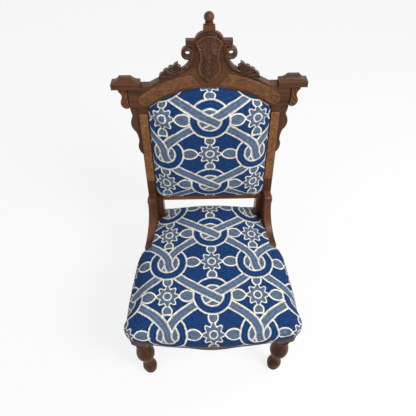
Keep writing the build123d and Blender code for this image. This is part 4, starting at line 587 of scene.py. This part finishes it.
# Rings lie where the straps meet: under them above its middle and over them below it
odd_x, odd_y = repeated(u, 0.0, REPEAT_ACROSS), repeated(v, REPEAT_UP / 4, REPEAT_UP / 2)
even_x, even_y = repeated(u, REPEAT_ACROSS / 2, REPEAT_ACROSS), repeated(v, 0.0, REPEAT_UP / 2)
odd, even = distance(odd_x, odd_y), distance(even_x, even_y)
nearer = calc(tree, "LESS_THAN", odd, even)
ring = calc(tree, "ABSOLUTE", calc(tree, "SUBTRACT", choose(nearer, even, odd), RING))
strap_over = calc(tree, "GREATER_THAN", choose(nearer, even_y, odd_y), 0.0)
top, below = choose(strap_over, ring, strap), choose(strap_over, strap, ring)
covered = calc(tree, "LESS_THAN", top, STRAP_EDGE)
band = choose(covered, below, top)
is_strap = calc(tree, "COMPARE", covered, strap_over, 0.5)

# Cells between the straps: a rosette with four leaves on navy; the rings are filled with slate
in_first = calc(tree, "LESS_THAN", calc(tree, "ABSOLUTE", odd_x), calc(tree, "ABSOLUTE", reach))
cell_x, cell_y = choose(in_first, even_x, odd_x), choose(in_first, odd_y, even_y)
in_ring = calc(tree, "LESS_THAN", choose(nearer, even, odd), RING)


def pointed_leaf(along, across, half_length, half_width):
    """Distance outside a leaf that two arcs meet in points at both ends of."""
    arc = (half_length**2 + half_width**2) / (2 * half_width)
    reach = calc(tree, "ADD", calc(tree, "ABSOLUTE", across), arc - half_width)
    return calc(tree, "SUBTRACT", distance(along, reach), arc)


petals = calc(tree, "COSINE", calc(tree, "MULTIPLY", calc(tree, "ARCTAN2", cell_y, cell_x), 8.0))
middle = distance(cell_x, cell_y)
rosette = calc(tree, "SUBTRACT", middle, calc(tree, "ADD", calc(tree, "MULTIPLY", petals, 0.0046), 0.0235))
beside = calc(tree, "SUBTRACT", calc(tree, "ABSOLUTE", cell_x), 0.0530)
above = calc(tree, "SUBTRACT", calc(tree, "ABSOLUTE", cell_y), 0.0410)
side_leaf = pointed_leaf(beside, cell_y, 0.0200, 0.0130)
up_leaf = pointed_leaf(above, cell_x, 0.0120, 0.0105)
motif = calc(tree, "MINIMUM", calc(tree, "MINIMUM", rosette, side_leaf), up_leaf)
eye = calc(tree, "SUBTRACT", calc(tree, "ABSOLUTE", calc(tree, "SUBTRACT", middle, 0.0105)), 0.0019)
ground = tint(tree, in_ring, given["Navy"], given["Slate"])


def edged(value, limit):
    """1 inside a limit and 0 outside it, with a woven edge about half a millimetre wide."""
    return span(tree, value, limit + 0.00035, limit - 0.00035)


pattern = tint(tree, edged(motif, OUTLINE), ground, given["Cream"])
pattern = tint(tree, edged(motif, 0.0), pattern, given["Slate"])
pattern = tint(tree, edged(eye, 0.0), pattern, given["Cream"])
pattern = tint(tree, edged(band, STRAP_EDGE), pattern, given["Cream"])
pattern = tint(tree, edged(band, STRAP), pattern, tint(tree, is_strap, given["Navy"], given["Slate"]))

# Stitch rows run along the straps and round the motifs, each stitch a little lighter or darker
rows = choose(calc(tree, "LESS_THAN", band, STRAP_EDGE), motif, band)
rows = calc(tree, "SINE", calc(tree, "MULTIPLY", rows, 2 * pi / STITCH_ROW))
stitches = put(tree, "ShaderNodeTexNoise", Vector=given["UV"], Scale=520.0, Detail=2.0).outputs["Fac"]
fading = put(
    tree, "ShaderNodeTexNoise", Vector=given["UV"], Scale=120.0, Detail=4.0, Roughness=0.6
).outputs["Fac"]
light = calc(tree, "ADD", calc(tree, "MULTIPLY", rows, 0.24), span(tree, stitches, 0.3, 0.7, -0.2, 0.2))
light = calc(tree, "ADD", light, span(tree, fading, 0.3, 0.7, 0.66, 1.34))
bright = put(tree, "ShaderNodeVectorMath", {"operation": "SCALE"}, Scale=light)
tree.links.new(pattern, bright.inputs[0])
tree.links.new(bright.outputs[0], made["Color"])
raised = calc(tree, "MULTIPLY", rows, 0.3)
tree.links.new(calc(tree, "ADD", raised, calc(tree, "MULTIPLY", stitches, 0.9)), made["Height"])

cover_fabric = bpy.data.materials.new("cover_fabric")
cover_fabric.use_nodes = True
tree = cover_fabric.node_tree
surface = tree.nodes["Principled BSDF"]
printed = tree.nodes.new("ShaderNodeGroup")
printed.node_tree = strapwork
tree.links.new(put(tree, "ShaderNodeUVMap", {"uv_map": "cloth"}).outputs[0], printed.inputs["UV"])
printed.inputs["Navy"].default_value = NAVY
printed.inputs["Slate"].default_value = SLATE
printed.inputs["Cream"].default_value = CREAM
tree.links.new(printed.outputs["Color"], surface.inputs["Base Color"])
bump = put(tree, "ShaderNodeBump", Distance=0.0006, Height=printed.outputs["Height"], Strength=0.55)
tree.links.new(bump.outputs[0], surface.inputs["Normal"])
surface.inputs["Roughness"].default_value = 0.88
surface.inputs["Sheen Weight"].default_value = 0.04
surface.inputs["Sheen Roughness"].default_value = 0.5
surface.inputs["Specular IOR Level"].default_value = 0.10


# Seat cushion: the cover drawn tight over the stuffing and tacked along the ledge of the rails, notched
# round the posts and brackets. It swells a little under the stuffing's pressure and is held at its edges.
TACK_LINE = 0.372
BRACKET_TOE = 0.0235
POST_FACE = 0.137
NOTCH_HALF = 0.155
NOTCH_SLOPE = 0.146
REAR_DROP = 0.030
TOE_EASE = 0.011
TOE_DIP = 0.007
TUCK = 0.006
POST_TUCK = (0.132, 0.131)


def outer_form(name, node, middle):
    """A closed copy of the outer face of a hollow cover."""
    form = copy_of(node, name)
    for face in form.data.polygons:
        face.select = face.normal.dot(face.center - middle) < 0
    bpy.ops.object.mode_set(mode="EDIT")
    bpy.ops.mesh.select_mode(type="FACE")
    bpy.ops.mesh.delete(type="FACE")
    bpy.ops.mesh.select_mode(type="EDGE")
    bpy.ops.mesh.select_all(action="DESELECT")
    bpy.ops.mesh.select_non_manifold()
    bpy.ops.mesh.fill()
    bpy.ops.mesh.select_all(action="SELECT")
    bpy.ops.mesh.normals_make_consistent(inside=False)
    bpy.ops.object.mode_set(mode="OBJECT")
    return form


def stuff(form, voxel, held, pressure, cap):
    """Swells a closed cover under pressure where it isn't held, then smooths and subdivides it."""
    active(form)
    form.data.remesh_voxel_size = voxel
    form.data.use_remesh_fix_poles = False
    bpy.ops.object.voxel_remesh()
    for modifier in list(form.modifiers):
        bpy.ops.object.modifier_apply(modifier=modifier.name)
    start = [point.co.copy() for point in form.data.vertices]
    pins = form.vertex_groups.new(name="tacked")
    for point in form.data.vertices:
        pins.add([point.index], held(point.co), "REPLACE")
    cloth = form.modifiers.new("stuffing", "CLOTH")
    cloth.settings.quality = 6
    cloth.settings.mass = 0.3
    cloth.settings.tension_stiffness = 25
    cloth.settings.compression_stiffness = 25
    cloth.settings.shear_stiffness = 12
    cloth.settings.bending_stiffness = 1.5
    cloth.settings.use_pressure = True
    cloth.settings.uniform_pressure_force = pressure
    cloth.settings.vertex_group_mass = "tacked"
    cloth.settings.pin_stiffness = 5
    cloth.settings.effector_weights.gravity = 0
    cloth.collision_settings.use_collision = False
    cloth.point_cache.frame_start = 1
    cloth.point_cache.frame_end = 20
    for moment in range(1, 21):
        bpy.context.scene.frame_set(moment)
    active(form)
    bpy.ops.object.modifier_apply(modifier="stuffing")
    bpy.context.scene.frame_set(1)
    for point, before in zip(form.data.vertices, start):
        moved = point.co - before
        if moved.length > cap:
            point.co = before + moved * (cap / moved.length)
    smooth = form.modifiers.new("smooth", "SMOOTH")
    smooth.iterations = 4
    smooth.factor = 0.5
    smooth.vertex_group = "tacked"
    smooth.invert_vertex_group = True
    bpy.ops.object.modifier_apply(modifier="smooth")
    finer = form.modifiers.new("finer", "SUBSURF")
    finer.levels = finer.render_levels = 1
    bpy.ops.object.modifier_apply(modifier="finer")
    bpy.ops.object.shade_smooth()


def lay_cloth(form, place):
    """Gives each point of a cover its place on the cloth, in metres."""
    layer = form.data.uv_layers.new(name="cloth")
    places = [place(point.co, point.normal) for point in form.data.vertices]
    for corner in form.data.loops:
        layer.data[corner.index].uv = places[corner.vertex_index]


def seat_held(point):
    """1 where the cover is tacked or tucked beside a post or bracket, 0 where it is free."""
    if point.z < TACK_LINE:
        return 1.0
    line = NOTCH_HALF + NOTCH_SLOPE * (POST_FACE - point.y)
    if point.y > BRACKET_TOE - TUCK and abs(point.x) > line - TUCK:
        return 1.0
    if point.y > POST_TUCK[1] and abs(point.x) > POST_TUCK[0]:
        return 1.0
    return 0.0


SEAT_ROLL = (  # heights on the seat's edge, and how far the cloth has turned down there
    (0.364, 0.374, 0.387, 0.398, 0.410, 0.4205, 0.429),
    (0.066, 0.047, 0.029, 0.0162, 0.0075, 0.0023, 0.0),
)


def seat_cloth(point, normal):
    """The cloth lies flat over the crown and turns down over the edge."""
    out = Vector((normal.x, normal.y))
    if out.length > 1e-6:
        out.normalize()
    turned = float(np.interp(point.z, *SEAT_ROLL))
    return point.x + out.x * turned, point.y + 0.05 + out.y * turned


seat_cushion = outer_form("seat_cushion", "seat_cover", Vector((0, -0.05, 0.34)))
stuff(seat_cushion, voxel=0.005, held=seat_held, pressure=4.0, cap=0.008)


def ramp(value, start, length):
    """0 up to a start, 1 from a length past it, and even between."""
    return np.clip((value - start) / length, 0, 1)


# The crown falls towards the back corners, and the corner in front of each bracket is eased
for point in seat_cushion.data.vertices:
    rear = ramp(point.co.y, -0.01, 0.15)
    side = ramp(abs(point.co.x), 0.01, 0.13)
    point.co.z -= REAR_DROP * rear**1.5 * side**1.7 * ramp(point.co.z, 0.402, 0.030)
    if point.co.y < BRACKET_TOE + 0.003:
        toe = ramp(point.co.y, BRACKET_TOE - 0.055, 0.055) ** 2
        outer = ramp(abs(point.co.x), 0.168, 0.020)
        high = ramp(point.co.z, 0.384, 0.020)
        point.co.x -= np.sign(point.co.x) * TOE_EASE * toe * outer * high
        point.co.z -= TOE_DIP * toe * outer * high
lay_cloth(seat_cushion, seat_cloth)
seat_cushion.data.materials.append(cover_fabric)
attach(seat_cushion, "root")
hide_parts("seat_cover", "seat_stuffing")


# Back pad: the same cloth drawn over a thin crowned pad of stuffing and tacked in the rabbet of the posts,
# the crest and the lower rail.
COVER_THICK = 0.0022
RABBET_LINE = 0.004
FROM_BACK = ON_BACK.inverted()


def pad_held(point):
    """1 in the rabbet, where the cover is tacked, and 0 where it is free."""
    return 1.0 if (FROM_BACK @ point).z < RABBET_LINE else 0.0


# Depths on the pad's edge, and how far the cloth has turned back there
PAD_ROLL = ((-0.004, 0.006, 0.012, 0.018, 0.024), (0.022, 0.012, 0.005, 0.001, 0.0))


def pad_cloth(point, normal):
    """The cloth lies flat over the pad and turns back over its edge."""
    x, rise, depth = FROM_BACK @ point
    out = Vector((normal.x, normal.dot(UP_BACK)))
    if out.length > 1e-6:
        out.normalize()
    turned = float(np.interp(depth, *PAD_ROLL))
    return x + out.x * turned, rise - 0.17 + out.y * turned


back_pad = copy_of("back_stuffing", "back_pad")
wrap = back_pad.modifiers.new("cover", "DISPLACE")
wrap.strength = COVER_THICK
wrap.mid_level = 0
stuff(back_pad, voxel=0.004, held=pad_held, pressure=4.0, cap=0.006)
lay_cloth(back_pad, pad_cloth)
back_pad.data.materials.append(cover_fabric)
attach(back_pad, "root")
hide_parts("back_cover", "back_stuffing")


# Outside back: one piece of the same cloth, stretched over the back of the frame and tacked in its rabbet.
# It gives a little inwards between its edges.
PANE = 0.014
PANEL_HALF = (0.142, 0.152)
PANEL_MIDDLE = 0.158
PANEL_GIVE = 0.0030


def cut_cloth(name, node, outward, across, along):
    """The outer face of a flat cloth node, as one sheet divided into panes."""
    sheet = copy_of(node, name)
    for face in sheet.data.polygons:
        face.select = face.normal.dot(outward) < 0.9
    bpy.ops.object.mode_set(mode="EDIT")
    bpy.ops.mesh.select_mode(type="FACE")
    bpy.ops.mesh.delete(type="FACE")
    bpy.ops.mesh.select_all(action="SELECT")
    bpy.ops.mesh.dissolve_limited(angle_limit=radians(1))
    for line in (across, along):
        for step in range(-30, 31):
            bpy.ops.mesh.select_all(action="SELECT")
            bpy.ops.mesh.bisect(plane_co=line * (PANE * step), plane_no=line)
    bpy.ops.object.mode_set(mode="OBJECT")
    return sheet


def thicken(sheet, thick):
    """Gives a sheet its thickness, behind its face."""
    body = sheet.modifiers.new("thickness", "SOLIDIFY")
    body.thickness = thick
    body.offset = -1
    active(sheet)
    bpy.ops.object.modifier_apply(modifier="thickness")
    bpy.ops.object.shade_smooth()


ALONG_X, ALONG_Y = Vector((1, 0, 0)), Vector((0, 1, 0))
outside_back = cut_cloth("outside_back", "outside_back_cover", -TO_SITTER, ALONG_X, UP_BACK)
for point in outside_back.data.vertices:
    x, rise = (FROM_BACK @ point.co).xy
    slack = max(0, 1 - (x / PANEL_HALF[0]) ** 2) * max(0, 1 - ((rise - PANEL_MIDDLE) / PANEL_HALF[1]) ** 2)
    point.co += TO_SITTER * (PANEL_GIVE * slack)
thicken(outside_back, thick=0.0012)
lay_cloth(outside_back, lambda point, normal: (point.x, (FROM_BACK @ point).y - 0.17))
outside_back.data.materials.append(cover_fabric)
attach(outside_back, "root")
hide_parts("outside_back_cover")


# Dust cover: a thin black cloth tacked under the seat rails, which hides the webbing. It sags slightly
# between them.
SHEET_HALF = 0.165
SHEET_MIDDLE = -0.045
SHEET_SAG = 0.006
black_cloth = woven("black_cloth", (0.030, 0.029, 0.028, 1), (0.012, 0.012, 0.012, 1), 0.0012)
dust_sheet = cut_cloth("dust_sheet", "dust_cover", Vector((0, 0, -1)), ALONG_X, ALONG_Y)
for point in dust_sheet.data.vertices:
    x, y = point.co.xy
    slack = max(0, 1 - (x / SHEET_HALF) ** 2) * max(0, 1 - ((y - SHEET_MIDDLE) / SHEET_HALF) ** 2)
    point.co.z -= SHEET_SAG * slack
thicken(dust_sheet, thick=0.0007)
dust_sheet.data.materials.append(black_cloth)
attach(dust_sheet, "root")
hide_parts("dust_cover")


# Floor: a sheet of plain white studio paper under the feet. It shows as white with the chair's soft shadow,
# and throws less light back than it shows.
FLOOR_LIT = (0.45, 0.45, 0.45, 1)
FLOOR_SHOWN = (0.95, 0.95, 0.95, 1)


def shown(tree):
    """1 for rays that show the background, also in gloss or glass, and 0 for those that only give light."""
    rays = tree.nodes.new("ShaderNodeLightPath").outputs
    mirrored = calc(tree, "MAXIMUM", rays["Is Glossy Ray"], rays["Is Transmission Ray"])
    return calc(tree, "MAXIMUM", rays["Is Camera Ray"], mirrored)


bpy.ops.object.select_all(action="DESELECT")
bpy.ops.mesh.primitive_plane_add(size=12)
floor = bpy.context.object
floor.name = "studio_floor"
floor.location.z = -0.0005
paper = bpy.data.materials.new("floor_paper")
paper.use_nodes = True
tree = paper.node_tree
surface = tree.nodes["Principled BSDF"]
surface.inputs["Roughness"].default_value = 0.9
seen = shown(tree)
tree.links.new(tint(tree, seen, FLOOR_LIT, FLOOR_SHOWN), surface.inputs["Base Color"])
glow = put(tree, "ShaderNodeEmission", Strength=1.0)
mixed = put(tree, "ShaderNodeMixShader", Fac=calc(tree, "MULTIPLY", seen, 0.80))
tree.links.new(surface.outputs[0], mixed.inputs[1])
tree.links.new(glow.outputs[0], mixed.inputs[2])
tree.links.new(mixed.outputs[0], tree.nodes["Material Output"].inputs["Surface"])
floor.data.materials.append(paper)


# Studio light: a white room, two large soft lamps in front of the chair and above it, and a weak cooler one
# at the right.
ROOM_LIGHT = (0.93, 0.96, 1.0, 1)
ROOM_SHOWN = (1.0, 1.0, 1.0, 1)
world = bpy.data.worlds.new("studio_room")
bpy.context.scene.world = world
world.use_nodes = True
tree = world.node_tree
room = tree.nodes["Background"]
seen = shown(tree)
tree.links.new(tint(tree, seen, ROOM_LIGHT, ROOM_SHOWN), room.inputs["Color"])
tree.links.new(span(tree, seen, 0, 1, 0.42, 1.0), room.inputs["Strength"])


def soft_lamp(name, place, target, size, power, colour):
    """A round lamp, so many metres across, that faces a target."""
    lamp = bpy.data.lights.new(name, "AREA")
    lamp.shape = "DISK"
    lamp.size = size
    lamp.energy = power
    lamp.color = colour
    holder = bpy.data.objects.new(name, lamp)
    bpy.context.scene.collection.objects.link(holder)
    holder.location = place
    holder.rotation_euler = (Vector(target) - Vector(place)).to_track_quat("-Z", "Y").to_euler()


soft_lamp("key_lamp", (1.2, -1.0, 2.6), (0, 0, 0.5), size=0.9, power=46, colour=(1.0, 0.97, 0.93))
soft_lamp("fill_lamp", (-1.5, -1.5, 1.9), (0, 0, 0.5), size=1.6, power=12, colour=(0.95, 0.97, 1.0))
soft_lamp("side_lamp", (1.8, 0.2, 1.7), (0, 0, 0.6), size=1.0, power=12, colour=(0.80, 0.89, 1.0))


# Camera: above and in front of the chair, looking steeply down at it, as the photograph was taken. A small
# upward shift frames the chair as there.
CAMERA_PLACE = (-0.0245, -0.6475, 1.5417)
YAW, PITCH = radians(1.40), radians(-55.90)
looking = Vector((sin(YAW) * cos(PITCH), cos(YAW) * cos(PITCH), sin(PITCH)))
right = Vector((cos(YAW), -sin(YAW), 0))
upward = right.cross(looking)
camera = bpy.data.cameras.new("photo_camera")
camera.sensor_width = 36
camera.lens = 38.62
camera.shift_y = 0.029
holder = bpy.data.objects.new("photo_camera", camera)
bpy.context.scene.collection.objects.link(holder)
turned = Matrix((right, upward, -looking)).transposed().to_4x4()
holder.matrix_world = Matrix.Translation(CAMERA_PLACE) @ turned
bpy.context.scene.camera = holder
bpy.context.scene.view_settings.view_transform = "Standard"
